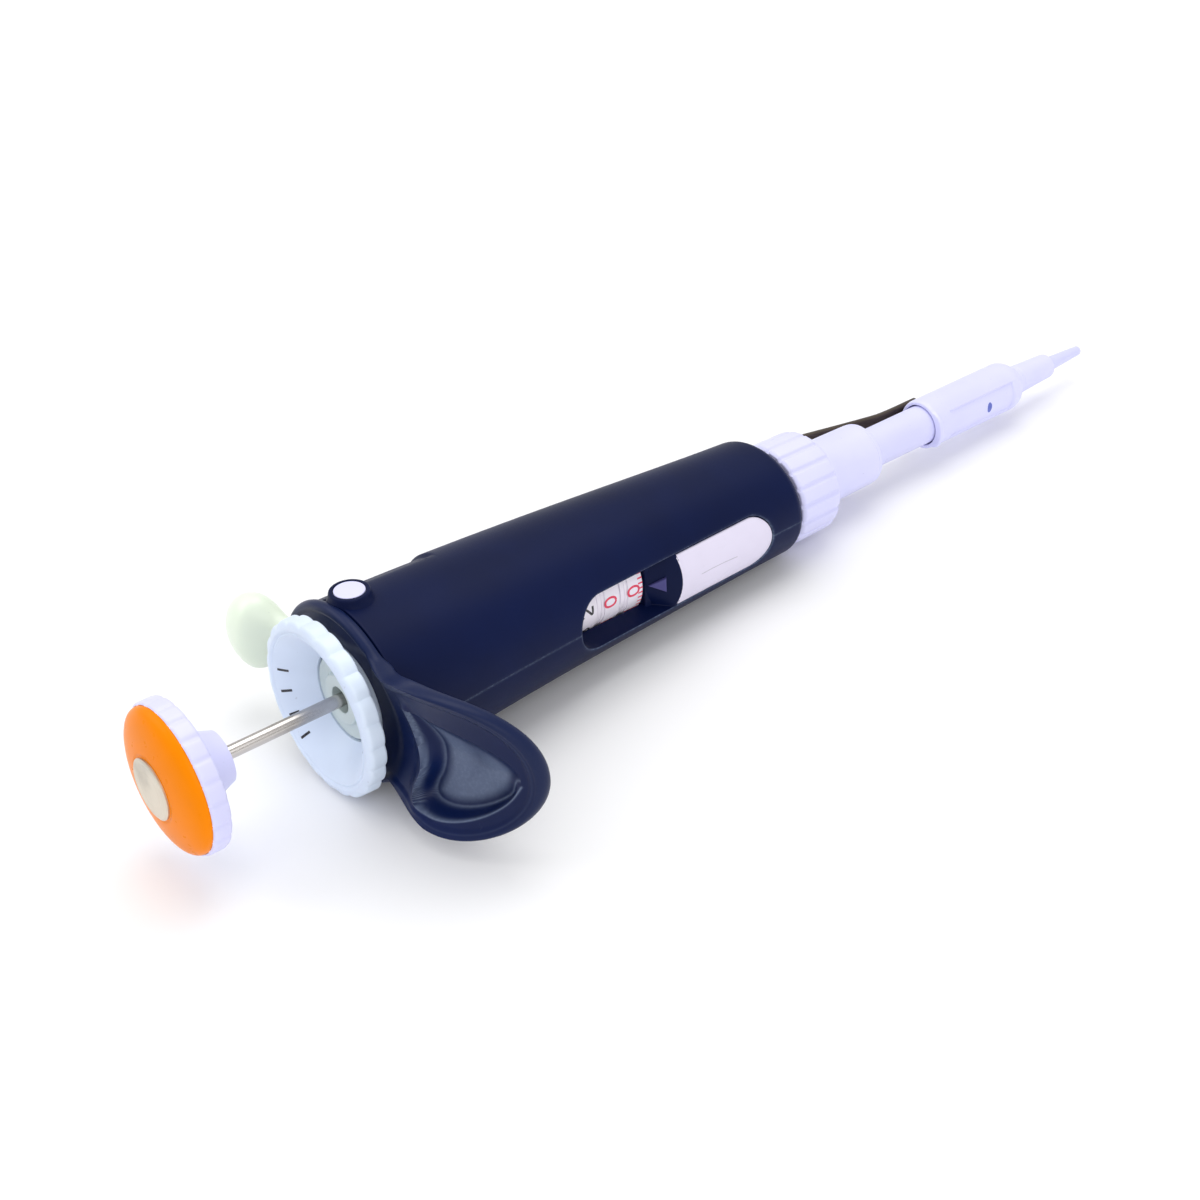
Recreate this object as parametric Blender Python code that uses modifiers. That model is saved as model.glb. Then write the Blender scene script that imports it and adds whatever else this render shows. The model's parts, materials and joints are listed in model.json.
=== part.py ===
"""Adjustable micropipette, lying on its flank.

The model is drawn in a drawing frame: Z runs along the axis from the button to
the tip with zero at the top of the handle, Y points to the finger hook and X to
the flank that ends up on top. One empty lays the whole instrument down.
"""
import math
from math import cos, pi, sin, tau

import bmesh
import bpy
from mathutils import Matrix, Vector

MM = 0.001

# Clearances
PIECE_GAP = 0.3 * MM
RUNNING_GAP = 0.35 * MM

# Facets
POINTS_PER_LOBE = 3
SHELL_POINTS = 18
CORE_POINTS = 36
SPRING_POINTS_PER_TURN = 8
LIP_POINTS = 10

# Rest pose
REST_PITCH = math.radians(3.1)

# Handle: distance from its top, half depth, half width, shift to the ejector
HANDLE_LENGTH = 105.0 * MM
HANDLE_WALL = 1.8 * MM
HANDLE_TOP_SECTION = (19.0 * MM, 17.9 * MM, 1.4 * MM)
HANDLE_SHOULDER_SECTION = (18.6 * MM, 16.6 * MM, 2.6 * MM)
HANDLE_GRIP_SECTION = (17.5 * MM, 15.4 * MM, 3.2 * MM)
HANDLE_MIDDLE_SECTION = (16.6 * MM, 14.5 * MM, 3.0 * MM)
HANDLE_LOWER_SECTION = (15.4 * MM, 13.4 * MM, 2.6 * MM)
HANDLE_END_SECTION = (14.3 * MM, 12.4 * MM, 2.0 * MM)
HANDLE_SHOULDER_AT = 16.0 * MM
HANDLE_GRIP_AT = 38.0 * MM
HANDLE_MIDDLE_AT = 58.0 * MM
HANDLE_LOWER_AT = 80.0 * MM
HANDLE_END_ROUNDING = 2.2 * MM
FLANK_STEP_AT = 26.0 * MM
FLANK_STEP = 0.7 * MM
FLANK_STEP_LENGTH = 0.8 * MM
FLANK_FROM = math.radians(105)
FLANK_BLEND = math.radians(12)

# Operating button and rod
BUTTON_FACE_AT = -41.0 * MM
BUTTON_CAP_RADIUS = 14.1 * MM
BUTTON_CAP_DOME = 3.9 * MM
BUTTON_RIM_RADIUS = 14.65 * MM
BUTTON_RIM_HEIGHT = 3.7 * MM
BUTTON_SCALLOPS = 22
BUTTON_SCALLOP_DEPTH = 0.35 * MM
BUTTON_NECK_RADIUS = 5.4 * MM
BUTTON_NECK_ROOT = 7.0 * MM
BUTTON_NECK_HEIGHT = 6.4 * MM
MEDALLION_RADIUS = 5.9 * MM
MEDALLION_HEIGHT = 0.8 * MM
ROD_RADIUS = 1.3 * MM
ROD_SOCKET_DEPTH = 4.0 * MM

# Stroke
STROKE = 16.0 * MM

# Thumbwheel
WHEEL_RADIUS = 17.6 * MM
WHEEL_RIM_WIDTH = 3.3 * MM
WHEEL_STANDOFF = 4.2 * MM
WHEEL_LOBES = 22
WHEEL_LOBE_DEPTH = 0.7 * MM
DISH_MOUTH_RADIUS = 13.9 * MM
DISH_FLOOR_RADIUS = 8.8 * MM
DISH_DEPTH = 6.1 * MM
WHEEL_BOSS_RADIUS = 10.2 * MM
WHEEL_BOSS_DEPTH = 3.4 * MM
HUB_RING_RADIUS = 5.0 * MM
HUB_RING_HEIGHT = 0.9 * MM
HUB_STEM_RADIUS = 5.6 * MM
HUB_STEM_LENGTH = 11.0 * MM

# Adjusting screw and counter
SCREW_RADIUS = 3.6 * MM
SCREW_WALL = 1.7 * MM
SCREW_SHORT = 36.0 * MM
SCREW_END_AT = HANDLE_LENGTH - SCREW_SHORT
DETENT_RADIUS = 8.0 * MM
DETENT_HEIGHT = 2.0 * MM
DETENT_NOTCHES = 20
DETENT_NOTCH_DEPTH = 0.5 * MM
COUNTER_INSET = 60.8 * MM
COUNTER_TOP_AT = HANDLE_LENGTH - COUNTER_INSET
COUNTER_PLATE = 1.4 * MM
SLEEVE_WALL = 1.0 * MM
DRUM_RADIUS = 8.2 * MM
DRUM_PITCH = 5.9 * MM
DRUM_NAMES = ("drum_units", "drum_tenths", "drum_hundredths")
SCREW_NUT_RADIUS = 6.2 * MM

# Window, pointer and label
WINDOW_TOP_INSET = 59.0 * MM
WINDOW_TOP_AT = HANDLE_LENGTH - WINDOW_TOP_INSET
WINDOW_END_INSET = 8.8 * MM
WINDOW_END_AT = HANDLE_LENGTH - WINDOW_END_INSET
WINDOW_HALF_WIDTH = 6.0 * MM
WINDOW_FLOOR = 9.1 * MM
WINDOW_CUT_TOP = 20.0 * MM
FRAME_SINK = 0.1 * MM
LABEL_SINK = 0.35 * MM
APERTURE_LENGTH = 17.0 * MM
APERTURE_HALF_WIDTH = 4.6 * MM
RAMP_LENGTH = 5.6 * MM
RAMP_FOOT = 0.6 * MM
RAMP_SIDE_STEP = 0.1 * MM
LABEL_THICKNESS = 0.6 * MM
FRAME_RIM = 0.45 * MM

# Finger hook
HOOK_PLATE_EDGE = 1.0 * MM
HOOK_PLATE_TOP = -0.6 * MM
HOOK_PLATE_HEIGHT = 3.2 * MM
HOOK_REACH = 45.2 * MM
HOOK_WAIST = 13.6 * MM
HOOK_FLARE = 15.5 * MM
HOOK_FLARE_AT = 27.0 * MM
HOOK_SWEEP = 7.5 * MM
HOOK_SWEEP_FROM = 24.0 * MM
HOOK_THICKNESS = 3.4 * MM
HOOK_DISH_DEPTH = 3.0 * MM
HOOK_LIP = 5.0 * MM
HOOK_STEP = 0.2 * MM
HOOK_LIP_RISE = 4.2 * MM
HOOK_LIP_FROM = 12.0 * MM
HOOK_RIB = 3.0 * MM
HOOK_RIB_LENGTH = 10.0 * MM
HOOK_EDGE_ROLL = 1.0 * MM

# Coloured plug on the upper flank
PLUG_AT = 4.6 * MM
PLUG_SHIFT = 3.4 * MM
PLUG_RADIUS = 2.95 * MM
PLUG_SEAT_WALL = 0.65 * MM
PLUG_TOP = 19.3 * MM
PLUG_HEIGHT = 1.6 * MM
PLUG_STAND = 0.2 * MM

# Tip ejector
EJECT_TRAVEL = 8.0 * MM
KNOB_REACH = 30.0 * MM
KNOB_AT = -2.0 * MM
KNOB_RADIUS = 8.4 * MM
KNOB_HEIGHT = 9.4 * MM
NECK_BEND = 0.745
NECK_HALF_WIDTH = 4.6 * MM
SLIDER_HALF_WIDTH = 6.2 * MM
SLIDER_THICKNESS = 2.2 * MM
SLIDER_REACH = 20.6 * MM
SLIDER_END_AT = 16.0 * MM
PUSH_ROD_RADIUS = 1.5 * MM
PUSH_ROD_REACH = 13.6 * MM
PUSH_ROD_LAP = 9.0 * MM
PUSH_ROD_SHORT = 22.0 * MM
PUSH_ROD_END_AT = HANDLE_LENGTH - PUSH_ROD_SHORT
STRIP_HALF_WIDTH = 2.5 * MM
STRIP_THICKNESS = 1.2 * MM
STRIP_BEND_PAST = 17.0 * MM
STRIP_BEND_AT = HANDLE_LENGTH + STRIP_BEND_PAST
STRIP_LAND_PAST = 43.0 * MM
STRIP_LAND_AT = HANDLE_LENGTH + STRIP_LAND_PAST
STRIP_LAND_LENGTH = 11.0 * MM
SLEEVE_PAST = 48.3 * MM
SLEEVE_AT = HANDLE_LENGTH + SLEEVE_PAST
SLEEVE_LENGTH = 29.7 * MM
SLEEVE_RADIUS = 5.75 * MM
SLEEVE_SHOULDER = 2.6 * MM
SLEEVE_PANEL_HALF = 3.5 * MM
SLEEVE_PANEL_DEPTH = 0.35 * MM
SLEEVE_PANEL_END = 26.4 * MM
SLEEVE_LIP = 0.9 * MM
SLEEVE_LIP_LENGTH = 1.6 * MM
SLEEVE_LIP_FROM = math.radians(35)
SLEEVE_LIP_TO = math.radians(145)
NOSE_LENGTH = 14.8 * MM
NOSE_TOP_RADIUS = 3.4 * MM
NOSE_END_RADIUS = 2.9 * MM

# Coupling nut and tip holder
NUT_PAST = 0.5 * MM
NUT_AT = HANDLE_LENGTH + NUT_PAST
NUT_LENGTH = 11.3 * MM
NUT_RADIUS = 11.4 * MM
NUT_LOBES = 18
NUT_LOBE_DEPTH = 0.5 * MM
NUT_STEP_LENGTH = 1.3 * MM
NUT_STEP_RADIUS = 9.4 * MM
SPIGOT_RADIUS = 9.0 * MM
SPIGOT_WALL = 1.7 * MM
SPIGOT_PAST = 9.0 * MM
SPIGOT_END_AT = HANDLE_LENGTH + SPIGOT_PAST
SPIGOT_FLANGE_RADIUS = 10.1 * MM
SPIGOT_FLANGE_HEIGHT = 2.6 * MM
HOLDER_FLANGE_RADIUS = 8.9 * MM
HOLDER_FLANGE_HEIGHT = 1.3 * MM
HOLDER_TOP_RADIUS = 7.3 * MM
HOLDER_END_RADIUS = 7.0 * MM
HOLDER_PAST = 29.2 * MM
HOLDER_END_AT = HANDLE_LENGTH + HOLDER_PAST
HOLDER_BORE = 5.8 * MM
HOLDER_END_WALL = 2.0 * MM
TUBE_RADIUS = 4.45 * MM
TUBE_WALL = 1.1 * MM
TUBE_PAST = 26.7 * MM
TUBE_END_AT = SLEEVE_AT + TUBE_PAST
NOZZLE_TOP_RADIUS = 1.5 * MM
NOZZLE_END_RADIUS = 1.1 * MM
NOZZLE_PAST = 29.7 * MM
NOZZLE_END_AT = TUBE_END_AT + NOZZLE_PAST
NOZZLE_BORE = 0.55 * MM

# Piston
PISTON_RADIUS = 0.25 * MM
PISTON_HEAD_RADIUS = 4.6 * MM
PISTON_HEAD_HEIGHT = 2.0 * MM
PISTON_HEAD_PAST = 2.0 * MM
PISTON_HEAD_AT = HANDLE_LENGTH + PISTON_HEAD_PAST
PISTON_PAST = 7.0 * MM
PISTON_END_AT = TUBE_END_AT + PISTON_PAST
STOP_RADIUS = 5.6 * MM
STOP_HEIGHT = 3.0 * MM
SEAL_HEIGHT = 3.0 * MM
O_RING_HEIGHT = 1.6 * MM
RETAINER_HEIGHT = 2.0 * MM

# Springs
SPRING_WIRE = 0.35 * MM
PISTON_SPRING_RADIUS = 4.4 * MM
PISTON_SPRING_TURNS = 6
BLOW_OUT_SPRING_RADIUS = 5.0 * MM
BLOW_OUT_SPRING_TURNS = 4
EJECTOR_SPRING_TURNS = 7
EJECTOR_SPRING_LENGTH = 18.0 * MM
SPRING_SEAT_DEPTH = 0.7 * MM
SPRING_SEAT_HEIGHT = 1.5 * MM

ORANGE = (1.0, 0.27, 0.0)
WHITE_PLASTIC = (0.74, 0.74, 0.92)
KNOB_WHITE = (0.82, 0.88, 0.78)
NAVY = (0.012, 0.016, 0.06)
STEEL = (0.55, 0.55, 0.57)
BRASS = (0.6, 0.45, 0.2)
RUBBER = (0.02, 0.02, 0.02)
MEDAL = (0.55, 0.52, 0.45)
LABEL_WHITE = (0.84, 0.8, 0.92)


# Scene and materials
def clear_scene():
    for thing in list(bpy.data.objects):
        bpy.data.objects.remove(thing, do_unlink=True)


def new_collection(name):
    collection = bpy.data.collections.new(name)
    bpy.context.scene.collection.children.link(collection)
    return collection


clear_scene()
PARTS = new_collection("micropipette")
CUTTERS = new_collection("cutters")


def finish_of(name, colour, roughness, metallic):
    """One Principled material of the piece's own colour."""
    material = bpy.data.materials.new(name + "_finish")
    material.use_nodes = True
    shader = material.node_tree.nodes["Principled BSDF"]
    shader.inputs["Base Color"].default_value = (*colour, 1.0)
    shader.inputs["Roughness"].default_value = roughness
    shader.inputs["Metallic"].default_value = metallic
    return material


def add_empty(name, parent=None):
    empty = bpy.data.objects.new(name, None)
    empty.empty_display_size = BUTTON_CAP_RADIUS
    PARTS.objects.link(empty)
    empty.parent = parent
    return empty


def add_piece(name, mesh, body, colour, roughness=0.4, metallic=0.0):
    """Put a mesh into the model as a named piece of one moving body."""
    piece = bpy.data.objects.new(name, mesh)
    PARTS.objects.link(piece)
    piece.parent = body
    mesh.materials.append(finish_of(name, colour, roughness, metallic))
    return piece


def add_cutter(name, mesh, body):
    cutter = bpy.data.objects.new(name, mesh)
    CUTTERS.objects.link(cutter)
    cutter.parent = body
    cutter.display_type = "WIRE"
    cutter.hide_render = True
    return cutter


def boolean(piece, other, operation="DIFFERENCE"):
    modifier = piece.modifiers.new(other.name, "BOOLEAN")
    modifier.object = other
    modifier.operation = operation
    modifier.solver = "EXACT"


def smooth(mesh, angle=35):
    mesh.shade_smooth()
    mesh.set_sharp_from_angle(angle=math.radians(angle))


# Shapes
def mesh_from(name, build):
    """Fill a new mesh by a bmesh function, with its faces pointing out."""
    bm = bmesh.new()
    build(bm)
    bmesh.ops.recalc_face_normals(bm, faces=bm.faces)
    mesh = bpy.data.meshes.new(name)
    bm.to_mesh(mesh)
    bm.free()
    smooth(mesh)
    return mesh


def loft(name, rings, wrap=False, ring_closed=True):
    """Join rings of equal count; a wrapped loft is a tube closed on itself."""
    def build(bm):
        rows = [[bm.verts.new(p) for p in ring] for ring in rings]
        pairs = list(zip(rows, rows[1:]))
        if wrap:
            pairs.append((rows[-1], rows[0]))
        count = len(rows[0])
        for low, high in pairs:
            for i in range(count if ring_closed else count - 1):
                j = (i + 1) % count
                bm.faces.new((low[i], low[j], high[j], high[i]))
        if not wrap:
            bm.faces.new(rows[0])
            bm.faces.new(rows[-1])
        if not ring_closed:
            bm.faces.new([row[0] for row in rows])
            bm.faces.new([row[-1] for row in rows])
    return mesh_from(name, build)


def turned(name, profile, body, colour, roughness=0.4, metallic=0.0, steps=28, closed=False):
    """Spin a profile of (radius, height) points about the axis.

    The points run down the outer side, from the tip side to the button side.
    A closed profile goes on up its bore.
    """
    points = [Vector((radius, 0.0, height)) for radius, height in profile]
    edges = [(i, i + 1) for i in range(len(points) - 1)]
    if closed:
        edges.append((len(points) - 1, 0))
    mesh = bpy.data.meshes.new(name)
    mesh.from_pydata(points, edges, [])
    piece = add_piece(name, mesh, body, colour, roughness, metallic)
    screw = piece.modifiers.new("turn", "SCREW")
    screw.axis = "Z"
    screw.angle = tau
    screw.steps = steps
    screw.render_steps = steps
    screw.use_merge_vertices = True
    screw.merge_threshold = 0.01 * MM
    screw.use_smooth_shade = True
    return piece


def tube(name, outer, inner, low, high, body, colour, roughness=0.4, metallic=0.0, steps=28):
    profile = [(outer, high), (outer, low), (inner, low), (inner, high)]
    return turned(name, profile, body, colour, roughness, metallic, steps, closed=True)


def block(name, low, high, body):
    """A box cutter between two corners."""
    def build(bm):
        bmesh.ops.create_cube(bm, size=1.0)
        size = Vector(high) - Vector(low)
        centre = (Vector(high) + Vector(low)) / 2
        bmesh.ops.scale(bm, vec=size, verts=bm.verts)
        bmesh.ops.translate(bm, vec=centre, verts=bm.verts)
    return add_cutter(name, mesh_from(name, build), body)


def drum_cutter(name, radius, low, high, body, matrix=None, sides=28):
    """A cylinder cutter along the axis, or along the axis of a matrix."""
    def build(bm):
        bmesh.ops.create_cone(bm, cap_ends=True, segments=sides, radius1=radius,
                              radius2=radius, depth=high - low)
        bmesh.ops.translate(bm, vec=(0, 0, (low + high) / 2), verts=bm.verts)
        if matrix:
            bmesh.ops.transform(bm, matrix=matrix, verts=bm.verts)
    return add_cutter(name, mesh_from(name, build), body)


def stadium(half_width, start, end, arc=8):
    """Outline in the plane of X and Z: two straight sides with round ends."""
    outline = []
    for k in range(arc + 1):
        turn = pi * k / arc
        outline.append((half_width * cos(turn), end - half_width + half_width * sin(turn)))
    for k in range(arc + 1):
        turn = pi + pi * k / arc
        outline.append((half_width * cos(turn), start + half_width + half_width * sin(turn)))
    return outline


def stadium_block(name, half_width, start, end, low, high):
    """A stadium outline raised along Y from low to high."""
    outline = stadium(half_width, start, end)
    rings = [[Vector((x, y, z)) for x, z in outline] for y in (low, high)]
    return loft(name, rings)


def lobed_ring(radius, height, lobes, depth):
    """Ring whose radius dips between its lobes."""
    count = lobes * POINTS_PER_LOBE
    ring = []
    for k in range(count):
        turn = tau * k / count
        reach = radius - depth * (0.5 + 0.5 * cos(lobes * turn))
        ring.append(Vector((reach * cos(turn), reach * sin(turn), height)))
    return ring


def helix(name, radius, wire, low, high, turns, body, reach=0.0):
    """A compression spring with its last half turns closed flat."""
    per_turn = SPRING_POINTS_PER_TURN
    count = int(turns * per_turn)
    curve = bpy.data.curves.new(name, "CURVE")
    curve.dimensions = "3D"
    curve.bevel_depth = wire
    curve.bevel_resolution = 2
    curve.use_fill_caps = True
    spline = curve.splines.new("POLY")
    spline.points.add(count)
    for k in range(count + 1):
        turn = tau * k / per_turn
        rise = min(max((k - per_turn / 2) / (count - per_turn), 0.0), 1.0)
        height = low + wire + (high - low - 2 * wire) * rise
        spline.points[k].co = (radius * cos(turn), reach + radius * sin(turn), height, 1.0)
    spring = bpy.data.objects.new(name, curve)
    PARTS.objects.link(spring)
    spring.parent = body
    curve.materials.append(finish_of(name, STEEL, 0.3, 1.0))
    return spring


# Handle form
def handle_section(height):
    """Half depth, half width and shift of the oval at a height."""
    stations = (
        (0.0, HANDLE_TOP_SECTION),
        (HANDLE_SHOULDER_AT, HANDLE_SHOULDER_SECTION),
        (HANDLE_GRIP_AT, HANDLE_GRIP_SECTION),
        (HANDLE_MIDDLE_AT, HANDLE_MIDDLE_SECTION),
        (HANDLE_LOWER_AT, HANDLE_LOWER_SECTION),
        (HANDLE_LENGTH, HANDLE_END_SECTION),
    )
    height = min(max(height, 0.0), HANDLE_LENGTH)
    for (low, first), (high, second) in zip(stations, stations[1:]):
        if height <= high:
            share = (height - low) / (high - low)
            return tuple(a + (b - a) * share for a, b in zip(first, second))
    return stations[-1][1]


def oval_point(height, inset, turn, spread=0.0):
    """Point of the handle's oval, inset from its skin; turn starts at the hook."""
    depth, width, shift = handle_section(height)
    x = (width - inset) * sin(turn)
    x += math.copysign(spread, x) if spread else 0.0
    y = -shift + (depth - inset) * cos(turn)
    return Vector((x, y, height))


def flank_step(height, turn):
    """Depth of the shallow step round the knob's slot at a point of the skin."""
    along = min(max((FLANK_STEP_AT - height) / FLANK_STEP_LENGTH, 0.0), 1.0)
    round_it = min(max((turn - FLANK_FROM) / FLANK_BLEND, 0.0), 1.0)
    return FLANK_STEP * along * round_it


def handle_core(name, inset, start, end, body):
    """Oval solid of the handle's skin, inset, between two stations."""
    middle = [at for at in (HANDLE_MIDDLE_AT, HANDLE_LOWER_AT) if start < at < end]
    rings = []
    for height in (start, *middle, end):
        rings.append([oval_point(height, inset, tau * k / CORE_POINTS)
                      for k in range(CORE_POINTS)])
    return add_cutter(name, loft(name, rings), body)


def handle_wall_profile(top):
    """Stations of the shell wall: down its outer side and up its inner side."""
    end = HANDLE_LENGTH
    rounding = HANDLE_END_ROUNDING
    outer = [(top, 0.0), (HANDLE_SHOULDER_AT, 0.0), (FLANK_STEP_AT - FLANK_STEP_LENGTH, 0.0),
             (FLANK_STEP_AT, 0.0), (HANDLE_GRIP_AT, 0.0),
             (HANDLE_MIDDLE_AT, 0.0), (HANDLE_LOWER_AT, 0.0), (end - rounding, 0.0)]
    for k in range(1, 4):
        turn = pi / 2 * k / 3
        outer.append((end - rounding + rounding * sin(turn), rounding * (1 - cos(turn))))
    inner = [(end - HANDLE_WALL, "bore"), (end - HANDLE_WALL, HANDLE_WALL),
             (HANDLE_LOWER_AT, HANDLE_WALL), (HANDLE_MIDDLE_AT, HANDLE_WALL),
             (HANDLE_GRIP_AT, HANDLE_WALL), (HANDLE_SHOULDER_AT, HANDLE_WALL),
             (top, HANDLE_WALL)]
    return outer + [(end, "bore")] + inner


def half_shell(name, side, body):
    """One moulded half of the handle, closed at the nut end round the spigot."""
    top = HOOK_PLATE_TOP + HOOK_PLATE_HEIGHT + PIECE_GAP
    bore = SPIGOT_RADIUS + PIECE_GAP
    count = SHELL_POINTS
    skin_count = 7
    rings = []
    for index, (height, inset) in enumerate(handle_wall_profile(top)):
        on_skin = index < skin_count
        ring = []
        for k in range(count + 1):
            turn = pi * k / count
            if inset == "bore":
                point = Vector((bore * sin(turn), bore * cos(turn), height))
            else:
                step = flank_step(height, turn) if on_skin else 0.0
                point = oval_point(height, inset + step, turn)
            point.x = side * (point.x + PIECE_GAP / 2)
            ring.append(point)
        rings.append(ring)
    mesh = loft(name, rings, wrap=True, ring_closed=False)
    return add_piece(name, mesh, body, NAVY, 0.42)


def plug_frame():
    """Turns the axis of a cylinder to the upper flank, over the plug."""
    return Matrix.Translation((0, -PLUG_SHIFT, PLUG_AT)) @ Matrix.Rotation(pi / 2, 4, "Y")


def build_handle(body):
    upper = half_shell("handle_shell_upper", 1.0, body)
    lower = half_shell("handle_shell_lower", -1.0, body)
    window = add_cutter("window_cut", stadium_block(
        "window_cut", WINDOW_HALF_WIDTH, WINDOW_TOP_AT, WINDOW_END_AT,
        WINDOW_FLOOR, WINDOW_CUT_TOP), body)
    slot_half = SLIDER_HALF_WIDTH + RUNNING_GAP
    slot_inner = -SLIDER_REACH + SLIDER_THICKNESS + HANDLE_WALL + RUNNING_GAP
    slider_slot = block("slider_slot", (-slot_half, -KNOB_REACH, HOOK_PLATE_TOP),
                        (slot_half, slot_inner, SLIDER_END_AT + EJECT_TRAVEL + RUNNING_GAP), body)
    strip_half = STRIP_HALF_WIDTH + RUNNING_GAP
    strip_slot = block(
        "strip_slot",
        (-strip_half, -PUSH_ROD_REACH - STRIP_THICKNESS / 2 - RUNNING_GAP, PUSH_ROD_END_AT),
        (strip_half, -PUSH_ROD_REACH + STRIP_THICKNESS / 2 + RUNNING_GAP, NUT_AT),
        body)
    for shell in (upper, lower):
        boolean(shell, window)
        boolean(shell, slider_slot)
        boolean(shell, strip_slot)
    across = plug_frame()
    boss = drum_cutter("plug_boss", PLUG_RADIUS + PIECE_GAP + PLUG_SEAT_WALL, 0.0,
                       PLUG_TOP - PLUG_STAND, body, across)
    seat = drum_cutter("plug_seat", PLUG_RADIUS + PIECE_GAP, PLUG_TOP - PLUG_HEIGHT - PIECE_GAP,
                       WINDOW_CUT_TOP, body, across)
    hollow = drum_cutter("plug_hollow", 2 * PLUG_RADIUS, -PIECE_GAP,
                         PLUG_TOP - PLUG_HEIGHT - HANDLE_WALL, body, across)
    boolean(boss, hollow)
    boolean(upper, boss, "UNION")
    boolean(upper, seat)
    plug = drum_cutter("id_plug", PLUG_RADIUS, PLUG_TOP - PLUG_HEIGHT, PLUG_TOP, body, across)
    mesh = plug.data
    bpy.data.objects.remove(plug)
    add_piece("id_plug", mesh, body, WHITE_PLASTIC, 0.35)


def build_window(body):
    """Frame behind the window, with its drum aperture, ramp and label bed."""
    start = WINDOW_TOP_AT + PIECE_GAP
    end = WINDOW_END_AT - PIECE_GAP
    half = WINDOW_HALF_WIDTH - PIECE_GAP
    frame = add_piece("window_frame", stadium_block(
        "window_frame", half, start, end, WINDOW_FLOOR, WINDOW_CUT_TOP), body, NAVY, 0.4)
    beyond = half / 2
    boolean(frame, handle_core("frame_face", FRAME_SINK, start - beyond, end + beyond, body),
            "INTERSECT")
    aperture_start = start + half - APERTURE_HALF_WIDTH
    aperture_end = aperture_start + APERTURE_LENGTH
    ramp_end = aperture_end + RAMP_LENGTH
    pocket_half = half - FRAME_RIM
    bed_sink = LABEL_SINK + LABEL_THICKNESS + PIECE_GAP
    opening = add_cutter("drum_opening", stadium_block(
        "drum_opening", APERTURE_HALF_WIDTH, aperture_start,
        aperture_end + 2 * APERTURE_HALF_WIDTH, 0.0, WINDOW_CUT_TOP), body)
    boolean(opening, block("drum_opening_end", (-half, -half, aperture_end),
                           (half, WINDOW_CUT_TOP + half, end), body))
    foot = aperture_end - RAMP_FOOT / 2
    crest = oval_point(ramp_end, bed_sink, 0.0).y
    side = [(WINDOW_FLOOR + RAMP_FOOT, foot), (crest, ramp_end),
            (WINDOW_CUT_TOP + RAMP_FOOT, ramp_end), (WINDOW_CUT_TOP + RAMP_FOOT, foot)]
    ramp_half = APERTURE_HALF_WIDTH - RAMP_SIDE_STEP
    rings = [[Vector((x, y, z)) for y, z in side] for x in (-ramp_half, ramp_half)]
    boolean(opening, add_cutter("ramp_cut", loft("ramp_cut", rings), body), "UNION")
    pocket = add_cutter("label_pocket", stadium_block(
        "label_pocket", pocket_half, ramp_end - RAMP_FOOT, end - FRAME_RIM, WINDOW_FLOOR,
        WINDOW_CUT_TOP), body)
    boolean(pocket, handle_core("pocket_bed", bed_sink, ramp_end - beyond, end + beyond, body))
    boolean(frame, pocket)
    boolean(frame, opening)
    label = add_piece("label_strip", stadium_block(
        "label_strip", pocket_half - PIECE_GAP, ramp_end + PIECE_GAP,
        end - FRAME_RIM - PIECE_GAP, WINDOW_FLOOR, WINDOW_CUT_TOP), body, LABEL_WHITE, 0.55)
    boolean(label, handle_core("label_face", LABEL_SINK, ramp_end - beyond, end + beyond, body),
            "INTERSECT")
    boolean(label, handle_core("label_back", LABEL_SINK + LABEL_THICKNESS, ramp_end - beyond,
                               end + beyond, body))


# Finger hook
def hook_half_width(reach):
    """Half width of the blade: a waist by the collar, a flare, a round end."""
    if reach <= HOOK_FLARE_AT:
        share = min(max(reach - 14 * MM, 0.0) / (HOOK_FLARE_AT - 14 * MM), 1.0)
        return HOOK_WAIST + (HOOK_FLARE - HOOK_WAIST) * (3 * share**2 - 2 * share**3)
    share = (reach - HOOK_FLARE_AT) / (HOOK_REACH - HOOK_FLARE_AT)
    return HOOK_FLARE * max(1 - min(share, 1.0) ** 2.4, 0.0) ** 0.5


def hook_sweep(reach):
    """How far the blade has curled towards the tip."""
    share = max(reach - HOOK_SWEEP_FROM, 0.0) / (HOOK_REACH - HOOK_SWEEP_FROM)
    return HOOK_SWEEP * share**1.7


def hook_lip_rise(reach, across, half):
    """How far the side lips stand up towards the button."""
    share = max(reach - HOOK_LIP_FROM, 0.0) / (HOOK_REACH - HOOK_LIP_FROM)
    return HOOK_LIP_RISE * sin(pi * share**0.7) * (abs(across) / half) ** 2.5


def hook_dish(reach, across, half, root):
    """Depth of the spoon: full in the middle, nothing on the lip."""
    side = (half - abs(across)) / HOOK_LIP
    far = (HOOK_REACH - reach) / (1.3 * HOOK_LIP)
    near = (reach - root) / HOOK_LIP
    share = min(max(min(side, far, near), 0.0), 1.0)
    return HOOK_DISH_DEPTH * (3 * share**2 - 2 * share**3)


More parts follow.
